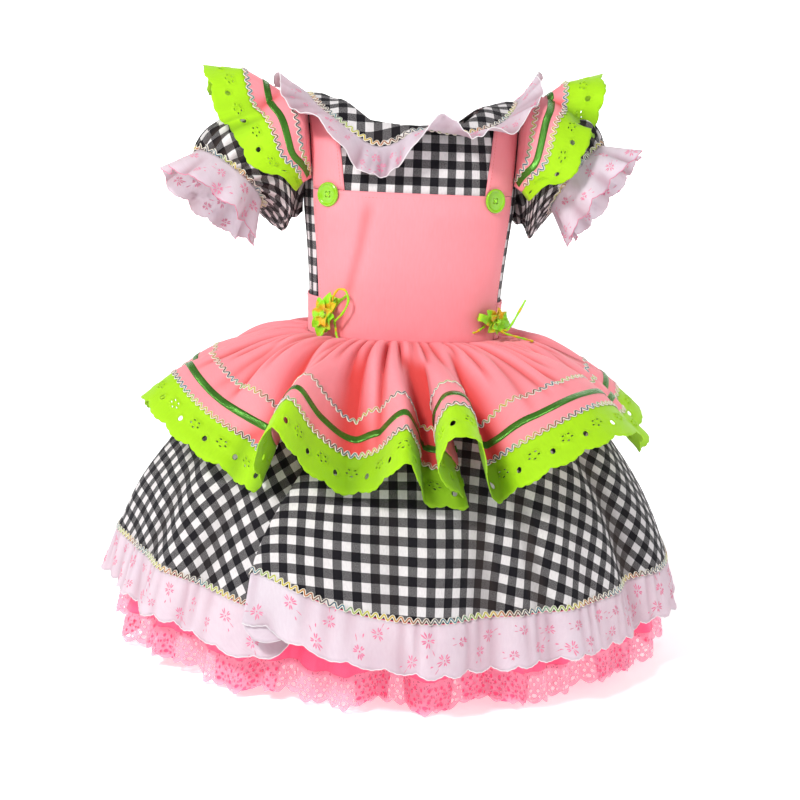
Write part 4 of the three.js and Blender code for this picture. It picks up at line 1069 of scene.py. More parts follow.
WHITE_THREAD = thread("white_thread", (0.75, 0.7, 0.75), (0.95, 0.92, 0.94))
LIME_PLASTIC = plastic("lime_plastic", (0.27, 0.60, 0.001), (0.19, 0.47, 0.0))
DARK_PLASTIC = plastic("black_plastic", (0.02, 0.02, 0.022), (0.008, 0.008, 0.01))

# ---------------------------------------------------------------- making pieces


def in_scene(name, data):
    """A new object with this data, linked into the scene."""
    thing = bpy.data.objects.new(name, data)
    bpy.context.scene.collection.objects.link(thing)
    return thing


def mesh_in_mm(name, points, faces):
    mesh = bpy.data.meshes.new(name)
    points = np.asarray(points, float).reshape(-1, 3)
    mesh.from_pydata((points * MM).tolist(), [], [list(map(int, f)) for f in faces])
    mesh.validate()
    return mesh


def smooth_shaded(mesh, material):
    mesh.polygons.foreach_set("use_smooth", [True] * len(mesh.polygons))
    mesh.materials.append(material)


def make(name, points, faces, material, slot, replaces=(), flat=None, solid=0.0, fold_shade=None):
    """A piece from points in mm. Flat holds each point's place on the flat cloth, in mm.

    Solid is its thickness in mm, and the last argument is how deep in a fold each point lies, from 0 to 1,
    which sets the painted shade in the folds.
    """
    mesh = mesh_in_mm(name, points, faces)
    if flat is not None:
        layer = mesh.uv_layers.new(name="flat")
        at = np.empty(len(mesh.loops), int)
        mesh.loops.foreach_get("vertex_index", at)
        layer.data.foreach_set("uv", (np.asarray(flat, float).reshape(-1, 2)[at] * MM).ravel())
    if fold_shade is not None:
        depths = mesh.attributes.new("fold_shade", "FLOAT", "POINT").data
        depths.foreach_set("value", np.asarray(fold_shade, float).ravel())
    smooth_shaded(mesh, material)
    piece = in_scene(name, mesh)
    if solid:
        shell = piece.modifiers.new("thickness", "SOLIDIFY")
        shell.thickness = solid * MM
        shell.offset = 1.0
    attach(piece, "root")
    if replaces:
        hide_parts(*replaces)
    return piece


class Gathered:
    """Gathers the points, faces and flat coordinates of many small shapes that are made as one piece."""

    def __init__(self):
        self.points, self.faces, self.flat = [], [], []
        self.count = 0

    def add(self, points, faces, flat):
        points = np.asarray(points, float).reshape(-1, 3)
        self.points.append(points)
        self.faces += [tuple(self.count + corner for corner in face) for face in faces]
        self.flat.append(np.asarray(flat, float).reshape(-1, 2))
        self.count += len(points)

    def make(self, name, material, slot, replaces=(), solid=0.0):
        points, flat = np.concatenate(self.points), np.concatenate(self.flat)
        return make(name, points, self.faces, material, slot, replaces, flat, solid)


def grid_faces(rows, columns, closed=False):
    """Quads of a grid of points. They face outwards when its rows run down and its columns to +X in front."""
    j = np.arange(rows - 1)[:, None]
    i = np.arange(columns if closed else columns - 1)[None, :]
    after = (i + 1) % columns
    quads = [j * columns + i, (j + 1) * columns + i, (j + 1) * columns + after, j * columns + after]
    return np.stack(np.broadcast_arrays(*quads), -1).reshape(-1, 4)


def blurred(grid, cells, axis, closed):
    """A running mean over cells on each side, along one axis."""
    pads = [(0, 0)] * grid.ndim
    pads[axis] = (cells, cells)
    wide = np.pad(grid, pads, mode="wrap" if closed and axis == 1 else "edge")
    total = np.cumsum(wide, axis=axis)
    total = np.concatenate([np.zeros_like(np.take(total, [0], axis=axis)), total], axis=axis)
    width = 2 * cells + 1
    count = grid.shape[axis]
    ends = np.take(total, np.arange(width, width + count), axis=axis)
    return (ends - np.take(total, np.arange(count), axis=axis)) / width


# Reaches at which the depth of a fold is measured, for the painted fold shade.
FOLD_SHADE_REACHES = ((7.0, 1.2), (20.0, 4.0), (34.0, 8.0))  # mm round a point, and mm of depth in a full hollow


def fold_shade_depths(grid, closed=False):
    """How deep each point of a grid lies below the cloth round it, from 0 (level or out) to 1 (in a fold),
    for the painted shade in the folds.
    """
    over, down = np.gradient(grid, axis=1), np.gradient(grid, axis=0)
    normal = unit(np.cross(down, over))
    across_step = np.linalg.norm(over, axis=-1).mean()
    deepest = np.zeros(grid.shape[:2])
    for reach, full in FOLD_SHADE_REACHES:
        cells = max(1, min(int(round(reach / across_step)), grid.shape[1] // 2 - 1))
        around = blurred(grid, cells, 1, closed)
        depth = ((around - grid) * normal).sum(-1) / full
        deepest = np.maximum(deepest, depth)
    return blurred(blurred(np.clip(deepest, 0, 1)[..., None], 1, 1, closed), 1, 0, closed)[..., 0]


def flat_of(grid, closed=False):
    """Flat coordinates of a grid of points: distance across from its middle column, and distance down."""
    ahead = np.roll(grid, -1, axis=1) - grid if closed else np.diff(grid, axis=1)
    steps = np.linalg.norm(ahead, axis=-1)
    run = np.concatenate([np.zeros((len(grid), 1)), np.cumsum(steps, axis=1)], axis=1)[:, : grid.shape[1]]
    middle = grid.shape[1] // 2
    u = run - run[:, middle : middle + 1]
    fall = np.linalg.norm(np.diff(grid, axis=0), axis=-1)
    v = np.concatenate([np.zeros((1, grid.shape[1])), np.cumsum(fall, axis=0)], axis=0)
    # One line down the middle keeps the rows of the pattern level.
    v = np.repeat(v[:, middle : middle + 1], grid.shape[1], axis=1)
    return np.stack([u, v], -1)


def cut_size(grid, closed=False):
    """Width and length of the flat cut, and its area, in metres."""
    loop = np.concatenate([grid, grid[:, :1]], axis=1) if closed else grid
    width = np.linalg.norm(np.diff(loop, axis=1), axis=-1).sum(1).max()
    length = np.linalg.norm(np.diff(grid, axis=0), axis=-1).sum(0).max()
    a, b = loop[1:, :-1] - loop[:-1, :-1], loop[:-1, 1:] - loop[:-1, :-1]
    area = np.linalg.norm(np.cross(a, b), axis=-1).sum()
    return width * MM, length * MM, area * MM * MM


SHEET_LEAST = 0.0101  # the narrowest side that declare() works out for a sheet, in metres


def declare(piece, grid, closed=False):
    width, length, area = cut_size(grid, closed)
    width, length = max(width, SHEET_LEAST), max(length, SHEET_LEAST)
    area = max(min(area, width * length), 0.31 * width * length)


def cloth(name, grid, material, slot, replaces, flat=None, closed=False, solid=CLOTH):
    """A woven shell on a grid of points. The grid is its inner side."""
    rows, columns = grid.shape[:2]
    flat = flat_of(grid, closed) if flat is None else flat
    faces = grid_faces(rows, columns, closed)
    # Each point carries its depth in a fold, which sets the painted fold shade.
    piece = make(name, grid, faces, material, slot, replaces, flat, solid, fold_shade_depths(grid, closed))
    if closed:
        mend_wrap(piece, columns, grid)
    declare(piece, grid, closed)
    return piece


def mend_wrap(piece, columns, grid):
    """Where a tube closes, carries the flat coordinate on past its last column, not back to the first."""
    mesh = piece.data
    layer = mesh.uv_layers["flat"]
    uv = np.empty(len(mesh.loops) * 2)
    layer.data.foreach_get("uv", uv)
    uv = uv.reshape(-1, 2)
    at = np.empty(len(mesh.loops), int)
    mesh.loops.foreach_get("vertex_index", at)
    face = np.repeat(np.arange(len(mesh.polygons)), 4)
    column = at % columns
    last = np.isin(face, face[column == columns - 1])
    wraps = last & (column == 0)
    around = np.linalg.norm(np.roll(grid, -1, axis=1) - grid, axis=-1).sum(1) * MM
    uv[wraps, 0] += around[at[wraps] // columns]
    layer.data.foreach_set("uv", uv.ravel())


def down_and_across(skin, rows, columns, u=(0.0, 1.0), v=(0.0, 1.0)):
    """Samples a skin into a grid of rows down by columns across."""
    us, vs = np.meshgrid(np.linspace(*u, columns), np.linspace(*v, rows))
    return skin(us, vs)


STEP = 2e-3  # of u or v, to find how a skin runs


def lift(skin, u, v, height):
    """Points of a skin raised along its normal by a height in mm."""
    u, v, height = np.broadcast_arrays(np.asarray(u, float), np.asarray(v, float), height)
    over = skin(u + STEP, v) - skin(u - STEP, v)
    low, high = np.clip(v - STEP * 2, 0, 1), np.clip(v + STEP * 2, 0, 1)
    down = skin(u, high) - skin(u, low)
    return skin(u, v) + unit(np.cross(down, over)) * height[..., None]


def stretch_at(skin, u, v):
    """How many mm one unit of u and of v are worth at a place on a skin."""
    def between(start, end):
        a, b = (skin(np.array([at[0]]), np.array([at[1]])) for at in (start, end))
        return np.linalg.norm(b - a)

    low, high = max(v - STEP, 0), min(v + STEP, 1)
    return between((u - STEP, v), (u + STEP, v)) / (2 * STEP), between((u, low), (u, high)) / (high - low)


# ---------------------------------------------------------------- eyelet lace


def outline(x, y, half_x, half_y, corners):
    """The corners of an oval."""
    a = ring_turns(corners)
    return np.stack([x + half_x * np.cos(a), y + half_y * np.sin(a)], -1)


def lace_unit(repeat, width, holes, edge, pitch, rim):
    """One repeat of lace, flat: points (x, y, height) and triangles.

    Holes are (x, y, half_x, half_y, corners). Edge(x) is the free edge's y. A stitched rim stands round each.
    """
    xs = np.linspace(0, repeat, max(4, int(round(repeat / pitch))) + 1)
    ys = np.arange(0, width - pitch * 0.6, pitch)
    points = [(x, y, 0.0) for y in ys for x in xs]
    bottom = np.linspace(0, repeat, 2 * (len(xs) - 1) + 1)
    free = [(x, edge(x), 0.0) for x in bottom]

    def clear(p):
        if p[1] > edge(p[0]) - pitch * 0.45:
            return False
        return all(((p[0] - x) / (hx + rim + 0.7)) ** 2 + ((p[1] - y) / (hy + rim + 0.7)) ** 2 > 1
                   for x, y, hx, hy, _ in holes)

    points = [p for p in points if clear(p) or p[1] == 0]
    edges = []
    start = len(points)
    points += free
    edges += [(start + k, start + k + 1) for k in range(len(free) - 1)]
    for x, y, hx, hy, corners in holes:
        for grow, height in ((0, 0.15), (rim * 0.5, 0.55), (rim, 0.0)):
            ring = outline(x, y, hx + grow, hy + grow, corners)
            start = len(points)
            points += [(*p, height) for p in ring]
            if grow == 0:
                edges += [(start + k, start + (k + 1) % corners) for k in range(corners)]
    flat_points = [Vector(p[:2]) for p in points]
    verts, _, faces, origin, _, _ = delaunay_2d_cdt(flat_points, edges, [], 0, 1e-4)
    at = np.array([[v.x, v.y] for v in verts])
    height = np.array([points[o[0]][2] if o else 0.0 for o in origin])
    kept = []
    for face in faces:
        cx, cy = at[face].mean(0)
        if cy > edge(cx) + 1e-6:
            continue
        inside = any(((cx - x) / hx) ** 2 + ((cy - y) / hy) ** 2 < 0.94 for x, y, hx, hy, _ in holes)
        if not inside:
            kept.append(face)
    return np.column_stack([at, height]), np.array(kept)


def tile(unit_points, triangles, repeat, count):
    """Lays a unit side by side and joins the copies, in the flat."""
    points = np.concatenate([unit_points + [k * repeat, 0, 0] for k in range(count)])
    faces = np.concatenate([triangles + k * len(unit_points) for k in range(count)])
    key = np.round(points[:, :2] / 0.01).astype(np.int64)
    _, first, inverse = np.unique(key, axis=0, return_index=True, return_inverse=True)
    faces = inverse.reshape(-1)[faces]
    good = (faces[:, 0] != faces[:, 1]) & (faces[:, 1] != faces[:, 2]) & (faces[:, 0] != faces[:, 2])
    return points[first], faces[good]


LACE_SAMPLES, LACE_MIDDLE = 1601, 0.45  # samples along a strip, and the v at which its length is measured
# Grid on which the depths for the lace's painted fold shade are measured.
LACE_FOLD_SHADE_GRID = (10, 320)  # rows and columns


def laced(name, skin, unit_made, repeat, count, width, material, slot, replaces, solid=0.8):
    """A strip of eyelet lace laid on a skin: x of the flat lace runs along u, y along v."""
    points, faces = tile(*unit_made, repeat, count)
    us = np.linspace(0, 1, LACE_SAMPLES)
    step = np.linalg.norm(np.diff(skin(us, LACE_MIDDLE), axis=0), axis=-1)
    run = np.concatenate([[0], np.cumsum(step + 0.02)])
    u = np.interp(points[:, 0] / (repeat * count), run / run[-1], us)
    v = points[:, 1] / width
    placed = lift(skin, u, np.clip(v, 0, None), points[:, 2])
    faces = facing(placed, faces, skin, u, v)
    # Depths in the folds under the lace, for its painted fold shade.
    rows, columns = LACE_FOLD_SHADE_GRID
    deep = fold_shade_depths(down_and_across(skin, rows, columns))
    nearest = np.clip(np.round(v * (rows - 1)), 0, rows - 1).astype(int)
    fold_shade = np.empty(len(u))
    for row in range(rows):
        fold_shade[nearest == row] = np.interp(u[nearest == row], np.linspace(0, 1, columns), deep[row])
    piece = make(name, placed, faces, material, slot, replaces, points[:, :2], solid, fold_shade)
    declare(piece, down_and_across(skin, 12, 240))
    return piece


def facing(placed, faces, skin, u, v):
    """Turns triangles so that they face as the skin does."""
    a, b, c = placed[faces[0]]
    n = np.cross(b - a, c - a)
    at = faces[0][0]
    over = lift(skin, u[at], max(v[at], 0), 1.0) - skin(u[at], v[at])
    return faces if float((n * over).sum()) > 0 else faces[:, ::-1]


# ---------------------------------------------------------------- trims and stitches


def seam_line(skin, us, vs, height=CLOTH + 0.05):
    """Points along a line on a skin, raised by a height, with the skin's normals there."""
    centre = lift(skin, us, vs, height)
    return centre, unit(lift(skin, us, vs, height + 1.0) - centre)


def spaced(skin, us, vs, height, pitch):
    """Points a pitch apart along a line on a skin, with the skin's normals and the run in mm at each."""
    centre, normal = seam_line(skin, us, vs, height)
    run = run_along(centre)
    count = max(4, int(round(run[-1] / pitch)))
    at = np.linspace(0, run[-1], count + 1)
    return points_at(at, run, centre), unit(points_at(at, run, normal)), at


def band(name, centre, normal, run, profile, material, slot, sway=0.0, period=1.0):
    """A strip along a line. The profile's columns are places across it and heights. Sway makes it wavy."""
    along = unit(np.gradient(centre, axis=0))
    side = unit(np.cross(normal, along))
    turns = 2 * math.pi * run / period
    wave = sway * np.sin(turns)
    lean = sway * 2 * math.pi / period * np.cos(turns)
    # Across the strip's own slanting middle line, so that the braid keeps its width.
    length = np.sqrt(1 + lean**2)
    rows = []
    for place, height in profile:
        p = centre + side * (wave + place / length)[:, None] - along * (place * lean / length)[:, None]
        rows.append(p + normal * height)
    grid = np.stack(rows)
    places = np.array([p for p, _ in profile])
    flat = pairs(run[None, :], places[:, None])
    return make(name, grid, grid_faces(*grid.shape[:2]), material, slot, (), flat)


RICRAC_PERIOD, RICRAC_SWAY = 7.6, 2.2
RICRAC_PROFILE = ((-1.35, 0.0), (-1.2, 0.55), (-0.75, 0.6), (0.0, 0.8), (0.75, 0.6), (1.2, 0.55), (1.35, 0.0))


def ricrac(name, skin, us, vs, height=TRIM + CLOTH):
    centre, normal, run = spaced(skin, us, vs, height, RICRAC_PERIOD / 10)
    # A whole number of waves, so that it meets the next stretch at a seam.
    period = run[-1] / max(1, round(run[-1] / RICRAC_PERIOD))
    return band(name, centre, normal, run, RICRAC_PROFILE, RICRAC, "lime_ribbon", RICRAC_SWAY, period)


RIBBON_WIDTH = 7.4


def flat_ribbon(name, skin, us, vs):
    centre, normal, run = spaced(skin, us, vs, TRIM + CLOTH, 2.4)
    half = RIBBON_WIDTH / 2
    rising = ((-half, 0.0), (-half + 0.3, 0.35), (-half * 0.4, 0.45))
    profile = rising + tuple((-place, high) for place, high in reversed(rising))
    return band(name, centre, normal, run, profile, DARK_RIBBON, "lime_ribbon")


DOME = [(k, 6, (k + 1) % 6) for k in range(6)]  # triangles from a ring of six points to a seventh, raised one
STITCH_FLAT = ((0, 0), (0.6, 0.3), (2, 0.3), (2.6, 0), (2, -0.3), (0.6, -0.3), (1.3, 0))


def stitches(name, lines, material, slot, length=2.6, gap=1.0, thick=0.32):
    """Rows of topstitching. Lines are (centre, normal) pairs of points along each row."""
    rows = Gathered()
    for centre, normal in lines:
        run = run_along(centre)
        starts = np.arange(0.5, run[-1] - length, length + gap)
        a, b = points_at(starts, run, centre), points_at(starts + length, run, centre)
        n = unit(points_at(starts + length / 2, run, normal))
        side = unit(np.cross(n, b - a)) * thick
        near, far = lerp(a, b, 0.2), lerp(a, b, 0.8)
        top = (a + b) / 2 + n * thick * 1.4
        for stitch in zip(a, near + side, far + side, b, far - side, near - side, top):
            rows.add(stitch, DOME, STITCH_FLAT)
    return rows.make(name, material, slot)


# ---------------------------------------------------------------- embroidery


def sprig(size, petals, seed):
    """A small satin-stitch flower with split petals and a stem: flat points (x, y, height) and triangles."""
    rng = np.random.default_rng(seed)
    points, faces = [], []

    def leaf(a, near, far, fat):
        way = np.array([math.cos(a), math.sin(a)])
        side = np.array([-way[1], way[0]])
        base = len(points)
        shape = ((0.0, 0), (0.35, 0.8), (0.7, 1.0), (1.0, 0.15), (0.7, -0.9), (0.35, -0.75))
        points.extend((*(way * lerp(near, far, r) + side * fat * s), 0.05) for r, s in shape)
        points.append((*(way * lerp(near, far, 0.6)), 0.5))
        faces.extend(tuple(base + corner for corner in face) for face in DOME)

    for k in range(petals):
        a = 2 * math.pi * (k + rng.uniform(-0.2, 0.2)) / petals
        far = size / 2 * rng.uniform(0.7, 1.15)
        for split in (-0.15, 0.15):
            leaf(a + split * 1.4, size * 0.1, far, size * 0.05)
    a = rng.uniform(0, 2 * math.pi)
    leaf(a, size * 0.5, size * 0.95, size * 0.025)
    leaf(a + 0.5, size * 0.75, size * 1.0, size * 0.05)
    base = len(points)
    eye = size * 0.06
    points += [(eye * math.cos(a), eye * math.sin(a), 0.1) for a in np.arange(6) * math.pi / 3]
    points.append((0, 0, 0.6))
    faces += [tuple(base + corner for corner in face) for face in DOME]
    return np.array(points, float), faces


SPRIG_PETALS = 5


def embroider(name, skin, spots, material, slot, size, height):
    """Sprigs on a skin at spots (u, v, turn, scale), all in one piece that follows the cloth."""
    sprigs = Gathered()
    for k, (u, v, turn, scale) in enumerate(spots):
        shape, triangles = sprig(size * scale, SPRIG_PETALS, 100 + k % 9)
        mm_u, mm_v = stretch_at(skin, u, v)
        c, s = math.cos(turn), math.sin(turn)
        a = shape[:, 0] * c - shape[:, 1] * s
        b = shape[:, 0] * s + shape[:, 1] * c
        laid = lift(skin, u + a / mm_u, np.clip(v + b / mm_v, 0.0, 0.985), height + shape[:, 2])
        sprigs.add(laid, [tuple(reversed(t)) for t in triangles], shape[:, :2])
    return sprigs.make(name, material, slot)


def staggered(count, rows, seed):
    """Spots in staggered rows: count along u, and a row at each v."""
    rng = np.random.default_rng(seed)
    spots = []
    for r, v in enumerate(rows):
        for k in range(count):
            u = (k + 0.25 + 0.5 * (r % 2)) / count
            if 0.01 < u < 0.99:
                spots.append((u + rng.uniform(-0.2, 0.2) / count, v + rng.uniform(-0.07, 0.07),
                              rng.uniform(0, 6.28), rng.uniform(0.7, 1.25)))
    return spots


def scallops(count, depth):
    """How far a frill's free edge is cut back, in shares of its width, along u."""
    def cut(u):
        large = np.abs(np.sin(math.pi * count * np.asarray(u, float)))
        small = np.abs(np.sin(math.pi * count * 4 * np.asarray(u, float)))
        return 1 - depth * (1 - large) - depth * 0.18 * (1 - small)
    return cut


def trimmed(skin, cut):
    """A skin whose free edge is scalloped."""
    return lambda u, v: skin(u, v * lerp(1.0, cut(u), np.clip(v, 0, 1) ** 2))


def edge_cord(name, skin, columns, material, slot, radius):
    """The overlocked edge of a frill: a thin round of thread along its free edge."""
    centre, n = seam_line(skin, np.linspace(0.0005, 0.9995, columns), 0.995, CLOTH * 0.5)
    side = unit(np.cross(n, unit(np.gradient(centre, axis=0))))
    rows = []
    for k in range(6):
        a = 2 * math.pi * k / 6
        rows.append(centre + n * (radius * math.sin(a)) + side * (radius * math.cos(a)))
    grid = np.stack(rows + rows[:1])
    flat = pairs(run_along(centre)[None, :], np.arange(7)[:, None] * 0.55)
    return make(name, grid, grid_faces(*grid.shape[:2]), material, slot, (), flat)


# ---------------------------------------------------------------- bodice

SIDES = {"left": -1, "right": 1}
BODICE_ROWS = 56


def bodice_skin(face, first, last, top=1.0, bottom=0.0, height=0.0):
    """Part of the bodice between two panel lines and two levels."""
    return lambda u, v: bodice_at(lerp(first, last, u), lerp(top, bottom, v), face, height)


def torso_flat(grid):
    """Flat coordinates that keep the gingham level: distance round, and distance down from the shoulders."""
    flat = flat_of(grid)
    line = torso_at(30.0, np.linspace(0, 1, 80))
    climb = run_along(line)
    flat[..., 1] = climb[-1] - np.interp(grid[..., 2], line[:, 2], climb)
    return flat


def make_bodice():
    front = down_and_across(bodice_skin("front", -SIDE_LINE, SIDE_LINE), BODICE_ROWS, 90)
    cloth("frock_front", front, GINGHAM, "gingham", ["bodice_front"], torso_flat(front))
    for name, lines in (("right", (SIDE_LINE, 0)), ("left", (0, -SIDE_LINE))):
        back = down_and_across(bodice_skin("back", *lines), BODICE_ROWS, 46)
        back[..., 1] += SEAM
        side = SIDES[name]
        near = smooth(8, 0, np.abs(back[..., 0]))
        back[..., 0] += side * SEAM / 2 * near
        cloth(f"frock_back_{name}", back, GINGHAM, "gingham", [f"bodice_back_{name}"],
              torso_flat(back))


# ---------------------------------------------------------------- sleeves


def sleeve_skin(name):
    side = SIDES[name]
    return lambda u, v: sleeve_at(name, u if side < 0 else 1 - np.asarray(u, float), v)


def cuff_frill_skin(name):
    side = SIDES[name]
    ring = cuff_ring(name)

    def skin(u, v):
        u, v = floats(u, v)
        turn = u if side < 0 else 1 - u
        wave = np.sin(2 * math.pi * CUFF_FRILL["waves"] * turn + 0.9 * np.sin(2 * math.pi * 2 * turn))
        flop = 2.2 * np.sin(2 * math.pi * 3 * turn + side)
        radius = CUFF_RADIUS + CUFF_FRILL["flare"] * v + (CUFF_FRILL["wave"] * wave + flop) * v
        return ring(turn, radius, 2 * SEAM + CUFF_FRILL["width"] * v)

    return skin


SLEEVE_CUT = {"round": 345, "long": 118, "cap": 26}  # mm of the flat sleeve
CUFF_SPRIG_ROWS = (0.32, 0.72)  # shares of the frill's width


def make_sleeves():
    for name in SIDES:
        skin = sleeve_skin(name)
        grid = down_and_across(skin, 44, 181)[:, :-1]
        rows, columns = grid.shape[:2]
        us, vs = np.meshgrid(np.arange(columns) / columns, np.linspace(0, 1, rows))
        turn = us if SIDES[name] < 0 else 1 - us
        # Cut on the slant, and eased in at the cap.
        run = (us - 0.5) * SLEEVE_CUT["round"] + 20
        fall = vs * SLEEVE_CUT["long"] + SLEEVE_CUT["cap"] * np.cos(2 * math.pi * turn) * (1 - vs)
        slant = math.radians(SLEEVE_SLANT) * SIDES[name]
        c, s = math.cos(slant), math.sin(slant)
        flat = pairs(run * c - fall * s, run * s + fall * c)
        piece = cloth(f"puff_sleeve_{name}", grid, GINGHAM, "gingham",
                      [f"sleeve_{name}"], flat, closed=True)
        piece.modifiers["thickness"].offset = -1.0

        frill = trimmed(cuff_frill_skin(name), scallops(12, 0.12))
        grid = down_and_across(frill, 14, 241)[:, :-1]
        cloth(f"cuff_frill_{name}", grid, SHEER_LAWN, "white_lace",
              [f"cuff_ruffle_{name}"], closed=True, solid=LAWN_THICK)
        edge_cord(f"cuff_frill_edge_{name}", frill, 300, PINK_THREAD, "white_lace", 0.4)
        spots = staggered(9, CUFF_SPRIG_ROWS, 7 + SIDES[name])
        embroider(f"cuff_sprigs_{name}", frill, spots, PINK_THREAD, "white_lace", 12.5, LAWN_THICK)
        # The thread shows on the inside of the frill too.
        inside = lambda u, v, skin=frill: skin(1 - np.asarray(u, float), v)
        spots = staggered(9, CUFF_SPRIG_ROWS, 17 + SIDES[name])
        embroider(f"cuff_sprigs_inside_{name}", inside, spots, PINK_THREAD, "white_lace", 12.0, 0.1)
        ricrac(f"cuff_ricrac_{name}", skin, np.linspace(0, 1, 400), 0.985, height=0.3)


# ---------------------------------------------------------------- pinafore


BIB_CREASE = {"top": 0.37, "lean": 0.17, "width": 0.028, "depth": 1.6}  # a long crease down the bib


def make_pinafore():
    bib_skin = bodice_skin("front", -STRAP_OUT, STRAP_OUT, BUST_LEVEL, 0.006, PINAFORE)
    rows, columns = 54, 84
    bib = down_and_across(bib_skin, rows, columns)
    us, vs = np.meshgrid(np.linspace(0, 1, columns), np.linspace(0, 1, rows))
    held = smooth(0, 0.12, us) * smooth(1, 0.88, us) * smooth(0, 0.15, vs)
    creased = np.exp(-(((us - BIB_CREASE["top"] + BIB_CREASE["lean"] * vs) / BIB_CREASE["width"]) ** 2))
    swell = 1.4 * (1 + crumple(us * 150, vs * 110, 62, 8)) + BIB_CREASE["depth"] * (1 - creased)
    bib[..., 1] -= swell * held
    cloth("pinafore_bib", bib, SALMON, "salmon_cotton", ["bib"])
    for name in SIDES:
        waist = down_and_across(waistband_skin(name), 14, 60)
        cloth(f"pinafore_waist_{name}", waist, SALMON, "salmon_cotton",
              [f"waistband_{name}"])
        strap = down_and_across(strap_skin(name), 90, 14)
        cloth(f"pinafore_strap_{name}", strap, SALMON, "salmon_cotton",
              [f"strap_{name}"])

    lines = [seam_line(bib_skin, np.linspace(0.04, 0.96, 200), 0.035)]
    lines += [seam_line(bib_skin, u, np.linspace(0.05, 0.99, 120)) for u in (0.022, 0.978)]
    for name in SIDES:
        lines += [seam_line(strap_skin(name), u, np.linspace(0.01, 0.99, 240)) for u in (0.09, 0.91)]
        lines.append(seam_line(waistband_skin(name), np.linspace(0.01, 0.99, 160), 0.06))
    stitches("pinafore_topstitch", lines, SEWING_THREAD, "salmon_cotton")


def waistband_skin(name):
    """From the bib's side, round under the arm, to the middle of the back."""
    side = SIDES[name]

    def skin(u, v):
        u, v = floats(u, v)
        round_it = u if side > 0 else 1 - u
        up = lerp(BAND_LEVEL, 0.006, v)
        path = round_it * 8  # panel lines passed: two in front, then six behind
        front = bodice_at(side * np.minimum(STRAP_OUT + path, SIDE_LINE), up, "front", PINAFORE)
        back = bodice_at(side * np.maximum(SIDE_LINE - (path - 2), 0), up, "back", PINAFORE)
        p = np.where((path < 2)[..., None], front, back)
        p[..., 0] += side * (SEAM * smooth(0.03, 0, round_it) + SEAM / 2 * smooth(0.97, 1, round_it))
        return p

    return skin


def strap_skin(name):
    """v runs from the bib over the shoulder to the waistband behind, and u across, from -X to +X in front."""
    side = SIDES[name]
    front_share = 0.36

    def skin(u, v):
        u, v = floats(u, v)
        across_strap = u if side > 0 else 1 - u
        line = side * lerp(STRAP_IN, STRAP_OUT, across_strap)
        climb = np.clip(v / front_share, 0, 1)
        fall = np.clip((v - front_share) / (1 - front_share), 0, 1)
        f = bodice_at(line, lerp(BUST_LEVEL, 1, climb ** 0.85), "front", PINAFORE)
        b = bodice_at(line, lerp(1, BAND_LEVEL, fall ** 1.15), "back", PINAFORE)
        near = smooth(front_share - 0.035, front_share + 0.035, v)[..., None]
        p = f * (1 - near) + b * near
        p[..., 2] += SEAM * (smooth(0.01, 0, v) + smooth(0.99, 1, v))
        return p

    # Rows run up the front, so u is turned round to keep the outside facing out.
    return lambda u, v: skin(1 - np.asarray(u, float), v)


# ---------------------------------------------------------------- wings


def make_wings():
    for name, side in SIDES.items():
        run = (lambda u: np.asarray(u, float)) if side > 0 else (lambda u: 1 - np.asarray(u, float))
        wing = lambda u, v, n=name, r=run: wing_at(n, r(u), v)
        edging = lambda u, v, n=name, r=run: wing_lace_at(n, r(u), v)
        cloth(f"flutter_wing_{name}", down_and_across(wing, 26, 150), SALMON, "salmon_cotton",
              [f"wing_{name}"])
        laced(f"flutter_lace_{name}", edging, LIME_UNIT, LIME_REPEAT, 11, LIME_WIDTH, LIME, "lime_eyelet",
              [f"wing_lace_{name}"])
        us = np.linspace(0.02, 0.98, 500)
        ricrac(f"wing_ricrac_edge_{name}", wing, us, 0.985)
        ends = smooth(0.0, 0.16, us) * smooth(1.0, 0.84, us)
        flat_ribbon(f"wing_ribbon_{name}", wing, us, 0.3 + 0.36 * ends)
        ricrac(f"wing_ricrac_inner_{name}", wing, us, 0.06 + 0.26 * ends)


# ---------------------------------------------------------------- collar


def collar_flat(grid):
    """The collar is cut in one with the grain straight down its front."""
    fall = np.hypot(1, 0.55)
    return np.stack([grid[..., 0], grid[..., 1] * -fall], -1)


def make_collar():
    grid = down_and_across(collar_at, 22, 190)
    cloth("frock_collar", grid, GINGHAM, "gingham", ["collar"], collar_flat(grid))
    frill = trimmed(neck_frill_at, scallops(26, 0.08))
    grid = down_and_across(frill, 14, 420)
    cloth("collar_frill", grid, SHEER_LAWN, "white_lace", ["neck_ruffle"],
          solid=LAWN_THICK)
    edge_cord("collar_frill_edge", frill, 620, WHITE_THREAD, "white_lace", 0.5)
    embroider("collar_sprigs", frill, staggered(27, (0.38, 0.74), 3), PINK_THREAD, "white_lace", 9.0,
              LAWN_THICK)
    ricrac("collar_ricrac", collar_at, np.linspace(0.004, 0.996, 900), 0.97)


# ---------------------------------------------------------------- overskirt

LIME_REPEAT, LIME_WIDTH = 24.0, 40.0
ROSE = (18.0, 16.0, 3.5)  # x and y of a ring of five small holes, and its radius
LIME_HOLES = (  # x, y, half width, half length, corners
    (6.0, 21.5, 2.0, 3.3, 12),
    *((ROSE[0] + ROSE[2] * math.cos(a), ROSE[1] + ROSE[2] * math.sin(a), 1.2, 1.2, 8)
      for a in np.radians([18, 90, 162, 234, 306])),
)


def lime_edge(x):
    """The scalloped edge of the lime lace, with smaller scallops along each."""
    large = abs(math.sin(math.pi * x / LIME_REPEAT))
    small = abs(math.sin(math.pi * x / (LIME_REPEAT / 4)))
    return LIME_WIDTH - 4.2 * (1 - large) - 1.1 * (1 - small)


LIME_UNIT = lace_unit(LIME_REPEAT, LIME_WIDTH, LIME_HOLES, lime_edge, 3.0, 0.7)
HALVES = {"front": -90.0, "back": 90.0}


